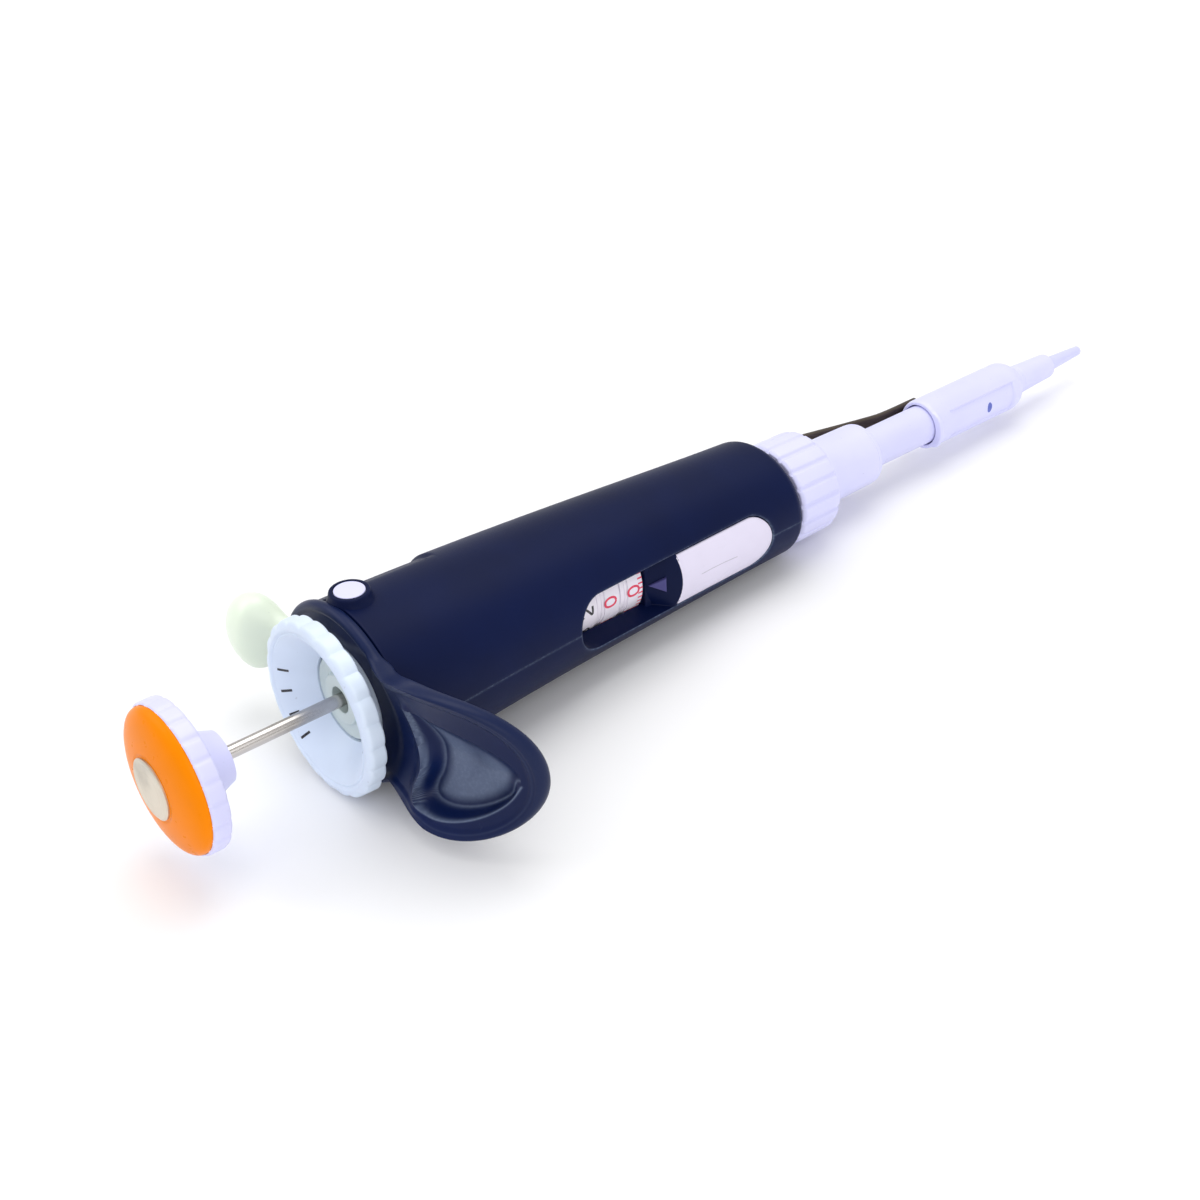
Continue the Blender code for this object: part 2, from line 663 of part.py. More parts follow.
def build_hook(body):
    """Collar plate round the wheel with the curved finger rest."""
    rings = []
    ring_count = 36
    top = HOOK_PLATE_TOP
    edge = HOOK_PLATE_EDGE
    stations = ((top, edge), (top + 0.35 * edge, 0.3 * edge), (top + edge, 0.0),
                (top + HOOK_PLATE_HEIGHT, 0.0))
    bore = WHEEL_BOSS_RADIUS + RUNNING_GAP
    for height, inset in stations:
        ring = []
        for k in range(ring_count):
            point = oval_point(0.0, inset, tau * k / ring_count)
            ring.append(Vector((point.x, point.y, height)))
        rings.append(ring)
    for height in (top + HOOK_PLATE_HEIGHT, top):
        rings.append([Vector((bore * sin(tau * k / ring_count), bore * cos(tau * k / ring_count),
                              height)) for k in range(ring_count)])
    hook = add_piece("finger_hook", loft("finger_hook", rings, wrap=True), body, NAVY, 0.3)

    across_count = 12
    root = HANDLE_TOP_SECTION[0] - HANDLE_TOP_SECTION[2] + PIECE_GAP
    steps = 10
    stations = [(bore + HOOK_PLATE_EDGE, HOOK_PLATE_HEIGHT - 2 * HOOK_STEP),
                (root, HOOK_PLATE_HEIGHT - 2 * HOOK_STEP)]
    for k in range(steps + 1):
        share = (k / steps) ** 0.8
        reach = root + HOOK_STEP + (HOOK_REACH - root - 2 * HOOK_STEP) * share
        rib = max(1 - (reach - root) / HOOK_RIB_LENGTH, 0.0) ** 2
        stations.append((reach, HOOK_THICKNESS + HOOK_RIB * rib))
    sections = []
    for reach, thickness in stations:
        half = hook_half_width(reach)
        upper = []
        lower = []
        for k in range(across_count + 1):
            across = half * sin(pi / 2 * (2 * k / across_count - 1))
            roll = HOOK_EDGE_ROLL * (abs(across) / half) ** 8
            dish = hook_dish(reach, across, half, root)
            height = top + HOOK_STEP + hook_sweep(reach) - hook_lip_rise(reach, across, half)
            upper.append(Vector((across, reach, height + roll + dish)))
            lower.append(Vector((across, reach, height + thickness - roll + 0.8 * dish)))
        sections.append(upper + lower[::-1])
    blade = add_cutter("hook_blade", loft("hook_blade", sections), body)
    boolean(hook, blade, "UNION")
    slot_half = SLIDER_HALF_WIDTH + RUNNING_GAP
    slot_depth = HOOK_PLATE_HEIGHT + HOOK_THICKNESS
    boolean(hook, block("hook_slot", (-slot_half, -KNOB_REACH, top - slot_depth),
                        (slot_half, -SLIDER_REACH + SLIDER_THICKNESS + HOOK_PLATE_EDGE,
                         top + slot_depth), body))
    boolean(hook, drum_cutter("hook_plug_notch", PLUG_RADIUS + 2 * PIECE_GAP + PLUG_SEAT_WALL,
                              0.0, WINDOW_CUT_TOP, body, plug_frame()))


# Operating button
def build_button(body):
    rim_top = BUTTON_FACE_AT + BUTTON_CAP_DOME + 0.1 * MM
    rim_back = rim_top + BUTTON_RIM_HEIGHT
    neck_end = rim_back + BUTTON_NECK_HEIGHT
    cap_edge = rim_top + 0.7 * MM
    seat = MEDALLION_RADIUS + PIECE_GAP
    floor = BUTTON_FACE_AT + MEDALLION_HEIGHT + PIECE_GAP
    dome = [(BUTTON_CAP_RADIUS, cap_edge)]
    for k in range(1, 6):
        radius = BUTTON_CAP_RADIUS * sin(pi / 2 * (1 - k / 7))
        rise = BUTTON_CAP_DOME * cos(pi / 2 * (1 - k / 7)) ** 0.75
        if radius > seat + 0.5 * MM:
            dome.append((radius, rim_top + 0.2 * MM - rise))
    profile = [(0.0, cap_edge), *dome, (seat, BUTTON_FACE_AT + 0.25 * MM),
               (seat, floor), (0.0, floor)]
    turned("button_cap", profile, body, ORANGE, 0.2, steps=40)
    turned("button_medallion", [(0.0, BUTTON_FACE_AT + MEDALLION_HEIGHT),
                                (MEDALLION_RADIUS, BUTTON_FACE_AT + MEDALLION_HEIGHT),
                                (MEDALLION_RADIUS, BUTTON_FACE_AT), (0.0, BUTTON_FACE_AT)],
           body, MEDAL, 0.35, 0.8)
    count = BUTTON_SCALLOPS * POINTS_PER_LOBE

    def plain(radius, height):
        return [Vector((radius * cos(tau * k / count), radius * sin(tau * k / count), height))
                for k in range(count)]

    def scalloped(inset, height):
        return lobed_ring(BUTTON_RIM_RADIUS - inset, height, BUTTON_SCALLOPS,
                          BUTTON_SCALLOP_DEPTH)
    bed = cap_edge + PIECE_GAP
    lip = BUTTON_CAP_RADIUS + PIECE_GAP
    socket = ROD_RADIUS + PIECE_GAP
    rings = [plain(socket, bed), plain(lip, bed), plain(lip, rim_top + 0.3 * MM),
             scalloped(0.15 * MM, rim_top + 0.1 * MM), scalloped(0.0, rim_top + 0.6 * MM),
             scalloped(0.1 * MM, rim_back - 0.7 * MM), plain(BUTTON_RIM_RADIUS - 1.6 * MM, rim_back),
             plain(BUTTON_NECK_ROOT, rim_back + 0.2 * MM),
             plain(BUTTON_NECK_ROOT - 1.1 * MM, rim_back + 1.2 * MM),
             plain(BUTTON_NECK_RADIUS, neck_end - 2.6 * MM),
             plain(BUTTON_NECK_RADIUS - 0.1 * MM, neck_end - 1.0 * MM),
             plain(BUTTON_NECK_RADIUS - 1.1 * MM, neck_end), plain(socket, neck_end)]
    add_piece("button_body", loft("button_body", rings, wrap=True), body, WHITE_PLASTIC, 0.35)
    return neck_end


def build_plunger(body):
    """Button, rod, stop collar and the piston that the rod pushes."""
    neck_end = build_button(body)
    stop_at = SCREW_END_AT + PIECE_GAP
    rod_end = PISTON_HEAD_AT - PIECE_GAP
    turned("operating_rod", [(0.0, rod_end), (ROD_RADIUS, rod_end),
                             (ROD_RADIUS, neck_end - ROD_SOCKET_DEPTH),
                             (0.0, neck_end - ROD_SOCKET_DEPTH)], body, STEEL, 0.2, 1.0, 20)
    tube("stop_collar", STOP_RADIUS, ROD_RADIUS + PIECE_GAP, stop_at, stop_at + STOP_HEIGHT,
         body, STEEL, 0.3, 1.0, 24)
    head_end = PISTON_HEAD_AT + PISTON_HEAD_HEIGHT
    turned("piston_head", [(0.0, head_end), (PISTON_HEAD_RADIUS, head_end),
                           (PISTON_HEAD_RADIUS, PISTON_HEAD_AT), (0.0, PISTON_HEAD_AT)],
           body, BRASS, 0.35, 1.0, 24)
    turned("piston", [(0.0, PISTON_END_AT), (PISTON_RADIUS, PISTON_END_AT),
                      (PISTON_RADIUS, head_end + PIECE_GAP), (0.0, head_end + PIECE_GAP)],
           body, STEEL, 0.15, 1.0, 10)


# Thumbwheel
def build_thumbwheel(body):
    front = -WHEEL_STANDOFF - WHEEL_RIM_WIDTH
    back = -WHEEL_STANDOFF
    floor = front + DISH_DEPTH
    boss_end = floor + WHEEL_BOSS_DEPTH
    count = WHEEL_LOBES * POINTS_PER_LOBE

    def plain(radius, height):
        return [Vector((radius * cos(tau * k / count), radius * sin(tau * k / count), height))
                for k in range(count)]

    def lobed(inset, height):
        return lobed_ring(WHEEL_RADIUS - inset, height, WHEEL_LOBES, WHEEL_LOBE_DEPTH)
    rings = [plain(DISH_FLOOR_RADIUS, floor), plain(DISH_MOUTH_RADIUS, front + 0.5 * MM),
             plain(DISH_MOUTH_RADIUS + 0.6 * MM, front), lobed(1.1 * MM, front),
             lobed(0.0, front + 0.9 * MM), lobed(0.1 * MM, back - 0.6 * MM),
             lobed(0.9 * MM, back), plain(WHEEL_RADIUS - 3.4 * MM, back + 0.8 * MM),
             plain(WHEEL_BOSS_RADIUS, floor - 0.2 * MM), plain(WHEEL_BOSS_RADIUS, boss_end),
             plain(DISH_FLOOR_RADIUS, boss_end)]
    add_piece("thumbwheel_cup", loft("thumbwheel_cup", rings, wrap=True), body,
              WHITE_PLASTIC, 0.38)
    bore = ROD_RADIUS + RUNNING_GAP
    disc = DISH_FLOOR_RADIUS - PIECE_GAP
    hub = [(HUB_STEM_RADIUS, floor + HUB_STEM_LENGTH), (HUB_STEM_RADIUS, floor + 2.0 * MM),
           (disc, floor + 2.0 * MM), (disc, floor), (HUB_RING_RADIUS, floor),
           (HUB_RING_RADIUS - 0.3 * MM, floor - HUB_RING_HEIGHT),
           (HUB_RING_RADIUS - 1.1 * MM, floor - HUB_RING_HEIGHT),
           (HUB_RING_RADIUS - 1.3 * MM, floor), (bore, floor),
           (bore, floor + HUB_STEM_LENGTH - 4 * MM),
           (SCREW_RADIUS + PIECE_GAP, floor + HUB_STEM_LENGTH - 4 * MM),
           (SCREW_RADIUS + PIECE_GAP, floor + HUB_STEM_LENGTH)]
    turned("thumbwheel_hub", hub, body, WHITE_PLASTIC, 0.38, steps=32, closed=True)
    tube("adjusting_screw", SCREW_RADIUS, SCREW_RADIUS - SCREW_WALL,
         floor + HUB_STEM_LENGTH - 4 * MM + PIECE_GAP, SCREW_END_AT, body, BRASS, 0.35, 1.0, 24)
    detent_bore = HUB_STEM_RADIUS - 1.0 * MM
    detent_low = floor + HUB_STEM_LENGTH + PIECE_GAP
    notches = DETENT_NOTCHES * POINTS_PER_LOBE
    low_bore = [Vector((detent_bore * cos(tau * k / notches), detent_bore * sin(tau * k / notches),
                        detent_low)) for k in range(notches)]
    high_bore = [point + Vector((0, 0, DETENT_HEIGHT)) for point in low_bore]
    rings = [low_bore, lobed_ring(DETENT_RADIUS, detent_low, DETENT_NOTCHES, DETENT_NOTCH_DEPTH),
             lobed_ring(DETENT_RADIUS, detent_low + DETENT_HEIGHT, DETENT_NOTCHES,
                        DETENT_NOTCH_DEPTH), high_bore]
    add_piece("detent_wheel", loft("detent_wheel", rings, wrap=True), body, WHITE_PLASTIC, 0.5)


# Counter
def bulkhead(name, low, high, bore, body, colour):
    """Oval plate that fills the handle's section, bored for the screw."""
    count = 28
    inset = HANDLE_WALL + PIECE_GAP
    rings = []
    for height, hole in ((low, False), (high, False), (high, True), (low, True)):
        ring = []
        for k in range(count):
            turn = tau * k / count
            if hole:
                ring.append(Vector((bore * sin(turn), bore * cos(turn), height)))
            else:
                point = oval_point(high, inset, turn)
                ring.append(Vector((point.x, min(point.y, WINDOW_FLOOR - PIECE_GAP), height)))
        rings.append(ring)
    plate = add_piece(name, loft(name, rings, wrap=True), body, colour, 0.5)
    passage = drum_cutter(name + "_rod_hole", PUSH_ROD_RADIUS + RUNNING_GAP, low - 1 * MM,
                          high + 1 * MM, body, Matrix.Translation((0, -PUSH_ROD_REACH, 0)), 16)
    boolean(plate, passage)
    return plate


def build_counter(body, drum_bodies):
    sleeve_bore = SCREW_RADIUS + RUNNING_GAP
    sleeve_outer = sleeve_bore + SLEEVE_WALL
    top = COUNTER_TOP_AT
    first = top + COUNTER_PLATE + PIECE_GAP
    end = first + len(DRUM_NAMES) * DRUM_PITCH
    bulkhead("counter_plate_upper", top, top + COUNTER_PLATE, sleeve_bore, body, WHITE_PLASTIC)
    bulkhead("counter_plate_lower", end, end + COUNTER_PLATE, sleeve_bore, body, WHITE_PLASTIC)
    tube("counter_sleeve", sleeve_outer, sleeve_bore, top + COUNTER_PLATE + PIECE_GAP,
         end - PIECE_GAP, body, STEEL, 0.35, 1.0, 24)
    for index, (name, drum_body) in enumerate(zip(DRUM_NAMES, drum_bodies)):
        low = first + index * DRUM_PITCH
        high = low + DRUM_PITCH - PIECE_GAP
        bore = sleeve_outer + PIECE_GAP
        profile = [(DRUM_RADIUS - 0.25 * MM, high), (DRUM_RADIUS, high - 0.25 * MM),
                   (DRUM_RADIUS, low + 0.25 * MM), (DRUM_RADIUS - 0.25 * MM, low),
                   (bore, low), (bore, high)]
        turned(name, profile, drum_body, LABEL_WHITE, 0.4, steps=30, closed=True)
    nut_low = end + COUNTER_PLATE + PIECE_GAP
    return nut_low


# Tip ejector
def build_ejector(body):
    """Thumb knob on its slider, push rod, strip and the sleeve over the tube."""
    knob = []
    rows = 7
    for k in range(rows + 1):
        turn = pi * k / rows
        knob.append((KNOB_RADIUS * sin(turn) ** 0.75 if 0 < k < rows else 0.0,
                     KNOB_AT + KNOB_HEIGHT / 2 * cos(turn)))
    pad = turned("ejector_knob", knob, body, KNOB_WHITE, 0.32, steps=28)
    pad.location = (0, -KNOB_REACH, 0)
    rings = []
    slider_low = HOOK_PLATE_TOP + HOOK_STEP
    bend = KNOB_REACH + NECK_BEND * (SLIDER_REACH - KNOB_REACH)
    for reach, half, low, high in (
            (-KNOB_REACH, NECK_HALF_WIDTH, KNOB_AT - 2.4 * MM, KNOB_AT + 3.0 * MM),
            (-bend, NECK_HALF_WIDTH, KNOB_AT - 1.6 * MM, KNOB_AT + 4.4 * MM),
            (-SLIDER_REACH, SLIDER_HALF_WIDTH, slider_low, SLIDER_END_AT),
            (-SLIDER_REACH + SLIDER_THICKNESS, SLIDER_HALF_WIDTH, slider_low, SLIDER_END_AT)):
        ring = []
        for k in range(16):
            turn = tau * k / 16
            x = half * math.copysign(abs(cos(turn)) ** 0.6, cos(turn))
            z = (low + high) / 2 + (high - low) / 2 * math.copysign(abs(sin(turn)) ** 0.6,
                                                                    sin(turn))
            ring.append(Vector((x, reach, z)))
        rings.append(ring)
    arm = add_cutter("ejector_arm", loft("ejector_arm", rings), body)
    boolean(pad, arm, "UNION")
    clear = SLIDER_REACH - SLIDER_THICKNESS
    rod_low = SLIDER_END_AT - PUSH_ROD_LAP
    turned_rod = turned("ejector_rod", [(0.0, PUSH_ROD_END_AT), (PUSH_ROD_RADIUS, PUSH_ROD_END_AT),
                                        (PUSH_ROD_RADIUS, rod_low), (0.0, rod_low)],
                        body, STEEL, 0.3, 1.0, 14)
    turned_rod.location = (0, -PUSH_ROD_REACH, 0)
    bracket_low = rod_low - PIECE_GAP - 2.0 * MM
    bracket = loft("ejector_bracket", [
        [Vector((x, y, z)) for x, y in ((-4 * MM, -clear + PIECE_GAP), (4 * MM, -clear + PIECE_GAP),
                                        (3 * MM, -PUSH_ROD_REACH + 2 * MM),
                                        (-3 * MM, -PUSH_ROD_REACH + 2 * MM))]
        for z in (bracket_low, rod_low - PIECE_GAP)])
    add_piece("ejector_bracket", bracket, body, STEEL, 0.3, 1.0)
    build_strip(body)
    build_sleeve(body)


def build_strip(body):
    """Flat metal strip: straight past the nut, bent in to lie on the sleeve."""
    far = PUSH_ROD_REACH
    land = SLEEVE_RADIUS + PIECE_GAP + STRIP_THICKNESS / 2
    start = PUSH_ROD_END_AT + PIECE_GAP
    path = [(start, far), (STRIP_BEND_AT - 4 * MM, far), (STRIP_BEND_AT, far - 0.4 * MM),
            (STRIP_LAND_AT - 3 * MM, land + 0.5 * MM), (STRIP_LAND_AT + 1 * MM, land),
            (STRIP_LAND_AT + STRIP_LAND_LENGTH, land)]
    mesh = bpy.data.meshes.new("ejector_strip")
    points = []
    for z, reach in path:
        points += [(-STRIP_HALF_WIDTH, -reach, z), (STRIP_HALF_WIDTH, -reach, z)]
    faces = [(2 * i, 2 * i + 1, 2 * i + 3, 2 * i + 2) for i in range(len(path) - 1)]
    mesh.from_pydata(points, [], faces)
    strip = add_piece("ejector_strip", mesh, body, (0.16, 0.14, 0.13), 0.35, 1.0)
    wall = strip.modifiers.new("sheet", "SOLIDIFY")
    wall.thickness = STRIP_THICKNESS
    wall.offset = 0.0
    wall.use_even_offset = True


def build_sleeve(body):
    """Round sleeve with a panel and a thumb lip on the hook side, and its nose."""
    bore = TUBE_RADIUS + RUNNING_GAP
    end = SLEEVE_AT + SLEEVE_LENGTH
    radius = SLEEVE_RADIUS
    shoulder = end - SLEEVE_SHOULDER
    profile = [(NOSE_TOP_RADIUS + 0.6 * MM, end), (radius - 0.9 * MM, end - 0.5 * MM),
               (radius - 0.2 * MM, end - 1.8 * MM), (radius, end - 4 * MM),
               (radius, SLEEVE_AT + 0.4 * MM), (radius - 0.3 * MM, SLEEVE_AT),
               (bore, SLEEVE_AT), (bore, shoulder), (NOSE_TOP_RADIUS - 1.2 * MM, shoulder),
               (NOSE_TOP_RADIUS - 1.2 * MM, end)]
    sleeve = turned("ejector_sleeve", profile, body, WHITE_PLASTIC, 0.36, steps=32, closed=True)
    lip = []
    for height, reach in ((SLEEVE_AT + 2 * SLEEVE_LIP_LENGTH, 0.0),
                          (SLEEVE_AT + SLEEVE_LIP_LENGTH, SLEEVE_LIP), (SLEEVE_AT, SLEEVE_LIP)):
        ring = []
        for inner in (False, True):
            for k in range(LIP_POINTS + 1):
                share = 1 - k / LIP_POINTS if inner else k / LIP_POINTS
                turn = SLEEVE_LIP_FROM + (SLEEVE_LIP_TO - SLEEVE_LIP_FROM) * share
                out = bore + SLEEVE_LIP / 2 if inner else radius + reach * sin(pi * share)
                ring.append(Vector((out * cos(turn), out * sin(turn), height)))
        lip.append(ring)
    boolean(sleeve, add_cutter("sleeve_lip", loft("sleeve_lip", lip), body), "UNION")
    panel = add_cutter("sleeve_panel", stadium_block(
        "sleeve_panel", SLEEVE_PANEL_HALF, SLEEVE_AT - radius, SLEEVE_AT + SLEEVE_PANEL_END,
        bore, radius + SLEEVE_PANEL_HALF), body)
    boolean(panel, drum_cutter("panel_bed", radius - SLEEVE_PANEL_DEPTH, SLEEVE_AT - 2 * radius,
                               end, body))
    boolean(panel, block("panel_start", (-radius, 0.0, SLEEVE_AT - 2 * radius),
                         (radius, 2 * radius, SLEEVE_AT + 3 * SLEEVE_LIP_LENGTH), body))
    boolean(sleeve, panel)
    nose_start = end + PIECE_GAP
    nose_end = end + NOSE_LENGTH
    inner = NOZZLE_TOP_RADIUS + RUNNING_GAP
    nose = [(NOSE_END_RADIUS - 0.3 * MM, nose_end), (NOSE_END_RADIUS, nose_end - 0.4 * MM),
            (NOSE_TOP_RADIUS - 0.1 * MM, nose_start + 6.0 * MM),
            (NOSE_TOP_RADIUS - 0.3 * MM, nose_start + 5.7 * MM),
            (NOSE_TOP_RADIUS - 0.3 * MM, nose_start + 5.2 * MM),
            (NOSE_TOP_RADIUS, nose_start + 4.9 * MM), (NOSE_TOP_RADIUS, nose_start),
            (inner, nose_start), (inner, nose_end)]
    turned("ejector_nose", nose, body, WHITE_PLASTIC, 0.36, steps=24, closed=True)


# Nut and tip holder
def build_nut(body):
    end = NUT_AT + NUT_LENGTH
    step_end = end + NUT_STEP_LENGTH
    bore = SPIGOT_RADIUS + PIECE_GAP
    lip = HOLDER_TOP_RADIUS + PIECE_GAP
    flange_end = SPIGOT_END_AT + PIECE_GAP + HOLDER_FLANGE_HEIGHT + PIECE_GAP
    count = NUT_LOBES * POINTS_PER_LOBE

    def plain(radius, height):
        return [Vector((radius * cos(tau * k / count), radius * sin(tau * k / count), height))
                for k in range(count)]

    def lobed(inset, height):
        return lobed_ring(NUT_RADIUS - inset, height, NUT_LOBES, NUT_LOBE_DEPTH)
    rings = [plain(bore, NUT_AT), lobed(0.7 * MM, NUT_AT), lobed(0.0, NUT_AT + 0.9 * MM),
             lobed(0.0, end - 1.0 * MM), lobed(0.8 * MM, end), plain(NUT_STEP_RADIUS, end + 0.1 * MM),
             plain(NUT_STEP_RADIUS - 0.2 * MM, step_end), plain(lip, step_end),
             plain(lip, flange_end), plain(bore, flange_end)]
    add_piece("coupling_nut", loft("coupling_nut", rings, wrap=True), body, WHITE_PLASTIC, 0.36)


def build_tip_holder(body):
    spigot_start = HANDLE_LENGTH - HANDLE_WALL - PIECE_GAP - SPIGOT_FLANGE_HEIGHT
    turned("handle_spigot", [(SPIGOT_RADIUS, SPIGOT_END_AT),
                             (SPIGOT_RADIUS, HANDLE_LENGTH - HANDLE_WALL - PIECE_GAP),
                             (SPIGOT_FLANGE_RADIUS, HANDLE_LENGTH - HANDLE_WALL - PIECE_GAP),
                             (SPIGOT_FLANGE_RADIUS, spigot_start),
                             (SPIGOT_RADIUS - SPIGOT_WALL, spigot_start),
                             (SPIGOT_RADIUS - SPIGOT_WALL, SPIGOT_END_AT)],
           body, BRASS, 0.4, 1.0, steps=32, closed=True)
    flange_start = SPIGOT_END_AT + PIECE_GAP
    flange_end = flange_start + HOLDER_FLANGE_HEIGHT
    end_wall = HOLDER_END_AT - HOLDER_END_WALL
    hole = PISTON_RADIUS + 2.0 * MM
    turned("tip_holder_body", [(HOLDER_END_RADIUS - 1.2 * MM, HOLDER_END_AT),
                               (HOLDER_END_RADIUS - 0.3 * MM, HOLDER_END_AT - 0.5 * MM),
                               (HOLDER_END_RADIUS, HOLDER_END_AT - 1.5 * MM),
                               (HOLDER_TOP_RADIUS, flange_end), (HOLDER_FLANGE_RADIUS, flange_end),
                               (HOLDER_FLANGE_RADIUS, flange_start), (HOLDER_BORE, flange_start),
                               (HOLDER_BORE, end_wall), (hole, end_wall), (hole, HOLDER_END_AT)],
           body, WHITE_PLASTIC, 0.36, steps=32, closed=True)
    tube_start = HOLDER_END_AT + PIECE_GAP
    inner = TUBE_RADIUS - TUBE_WALL
    nozzle_outer = NOZZLE_TOP_RADIUS
    turned("tip_holder_tube", [(TUBE_RADIUS - 1.0 * MM, TUBE_END_AT), (TUBE_RADIUS, TUBE_END_AT - 1.2 * MM),
                               (TUBE_RADIUS, tube_start), (inner, tube_start),
                               (inner, TUBE_END_AT - 3 * MM),
                               (nozzle_outer + PIECE_GAP, TUBE_END_AT - 3 * MM),
                               (nozzle_outer + PIECE_GAP, TUBE_END_AT)],
           body, WHITE_PLASTIC, 0.36, steps=28, closed=True)
    nozzle_start = TUBE_END_AT - 3 * MM + PIECE_GAP
    turned("tip_nozzle", [(NOZZLE_END_RADIUS - 0.25 * MM, NOZZLE_END_AT),
                          (NOZZLE_END_RADIUS, NOZZLE_END_AT - 0.6 * MM),
                          (nozzle_outer, NOZZLE_END_AT - 11 * MM), (nozzle_outer, nozzle_start),
                          (NOZZLE_BORE, nozzle_start), (NOZZLE_BORE, NOZZLE_END_AT)],
           body, WHITE_PLASTIC, 0.34, steps=20, closed=True)
    seal_bore = PISTON_RADIUS + PIECE_GAP
    ring_outer = inner - PIECE_GAP
    at = tube_start + 1.0 * MM
    for name, height, colour in (("piston_seal", SEAL_HEIGHT, WHITE_PLASTIC),
                                 ("piston_o_ring", O_RING_HEIGHT, RUBBER),
                                 ("seal_retainer", RETAINER_HEIGHT, STEEL)):
        tube(name, ring_outer, seal_bore, at, at + height, body, colour, 0.5,
             1.0 if colour == STEEL else 0.0, 20)
        at += height + PIECE_GAP


def build_screw_nut(low, body):
    """Fixed nut that the adjusting screw runs in."""
    bore = SCREW_RADIUS + RUNNING_GAP
    tube("screw_nut", SCREW_NUT_RADIUS, bore, low, SCREW_END_AT - PIECE_GAP, body, BRASS,
         0.35, 1.0, 24)


def build_springs(body):
    """Return springs, each seated on a fixed piece and pressed by a moving one."""
    seat_at = HANDLE_LENGTH - HANDLE_WALL - PIECE_GAP - SPIGOT_FLANGE_HEIGHT + SPRING_SEAT_DEPTH
    tube("spring_seat", SPIGOT_RADIUS - SPIGOT_WALL - PIECE_GAP, ROD_RADIUS + RUNNING_GAP,
         seat_at, seat_at + SPRING_SEAT_HEIGHT, body, STEEL, 0.35, 1.0, 24)
    blow_top = SCREW_END_AT + PIECE_GAP + STOP_HEIGHT + STROKE
    helix("blow_out_spring", BLOW_OUT_SPRING_RADIUS, SPRING_WIRE, blow_top,
          seat_at - PIECE_GAP, BLOW_OUT_SPRING_TURNS, body)
    helix("piston_spring", PISTON_SPRING_RADIUS, SPRING_WIRE,
          PISTON_HEAD_AT + PISTON_HEAD_HEIGHT + PIECE_GAP,
          HOLDER_END_AT - HOLDER_END_WALL - PIECE_GAP, PISTON_SPRING_TURNS, body)
    ejector_radius = PUSH_ROD_RADIUS + 2 * SPRING_WIRE + PIECE_GAP
    helix("ejector_spring", ejector_radius, SPRING_WIRE,
          COUNTER_TOP_AT - PIECE_GAP - EJECTOR_SPRING_LENGTH, COUNTER_TOP_AT - PIECE_GAP,
          EJECTOR_SPRING_TURNS, body, -PUSH_ROD_REACH)


def lay_down(root):
    """Lay the instrument on its flank and stand the model on its origin."""
    across_up = Matrix(((0, 0, 1, 0), (0, -1, 0, 0), (1, 0, 0, 0), (0, 0, 0, 1)))
    turn = Matrix.Rotation(REST_PITCH, 4, "Y") @ across_up
    root.matrix_world = turn
    bpy.context.view_layer.update()
    graph = bpy.context.evaluated_depsgraph_get()
    low = Vector((1e9, 1e9, 1e9))
    high = -low
    for piece in PARTS.objects:
        if piece.type == "EMPTY":
            continue
        evaluated = piece.evaluated_get(graph)
        mesh = evaluated.to_mesh()
        for vertex in mesh.vertices:
            point = evaluated.matrix_world @ vertex.co
            low = Vector(map(min, low, point))
            high = Vector(map(max, high, point))
        evaluated.to_mesh_clear()
    centre = (low + high) / 2
    root.matrix_world = Matrix.Translation((-centre.x, -centre.y, -low.z)) @ turn
    bpy.context.view_layer.update()


def main():
    root = add_empty("handle_axis")
    thumbwheel = add_empty("thumbwheel_axis", root)
    plunger = add_empty("plunger_axis", thumbwheel)
    ejector = add_empty("ejector_axis", root)
    nut = add_empty("coupling_nut_axis", root)
    drums = [add_empty(name + "_axis", root) for name in DRUM_NAMES]
    build_handle(root)
    build_window(root)
    build_hook(root)
    build_plunger(plunger)
    build_thumbwheel(thumbwheel)
    nut_low = build_counter(root, drums)
    build_screw_nut(nut_low, root)
    build_ejector(ejector)
    build_nut(nut)
    build_tip_holder(root)
    build_springs(root)
    lay_down(root)


main()
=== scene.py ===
"""Looks of the micropipette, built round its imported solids.

Every shape is worked out in the drawing frame of the pipette: z runs from the top
of the handle towards the tip, y points to the finger hook and x to the upper flank.
"""
import json
import math

import bmesh
import bpy
import numpy as np
from mathutils import Matrix, Vector


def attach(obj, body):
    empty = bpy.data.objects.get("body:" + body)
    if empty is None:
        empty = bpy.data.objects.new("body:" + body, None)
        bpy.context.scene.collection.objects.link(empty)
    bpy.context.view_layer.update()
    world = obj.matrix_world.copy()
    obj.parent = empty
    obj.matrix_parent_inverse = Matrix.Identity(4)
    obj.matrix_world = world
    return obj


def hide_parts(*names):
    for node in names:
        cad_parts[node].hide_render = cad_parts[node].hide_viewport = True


bl_info = {
    "name": "Micropipette looks",
    "version": (1, 0, 0),
    "blender": (4, 5, 0),
    "location": "View3D > Sidebar > Micropipette",
    "description": "Finished surfaces and materials of an adjustable micropipette",
    "category": "Object",
}

MM = 0.001
TAU = math.tau
WELD = 2e-6
TINY = 1e-12

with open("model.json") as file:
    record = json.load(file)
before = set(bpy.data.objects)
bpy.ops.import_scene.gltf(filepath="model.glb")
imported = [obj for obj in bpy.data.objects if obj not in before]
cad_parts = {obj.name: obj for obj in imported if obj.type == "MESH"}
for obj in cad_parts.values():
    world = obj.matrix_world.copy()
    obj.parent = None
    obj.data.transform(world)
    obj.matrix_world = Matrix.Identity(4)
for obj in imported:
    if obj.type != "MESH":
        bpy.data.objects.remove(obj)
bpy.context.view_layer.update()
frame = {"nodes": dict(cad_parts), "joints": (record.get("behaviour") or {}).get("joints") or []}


# Drawing frame
def joint_named(name):
    return next(joint for joint in frame["joints"] if joint["name"] == name)


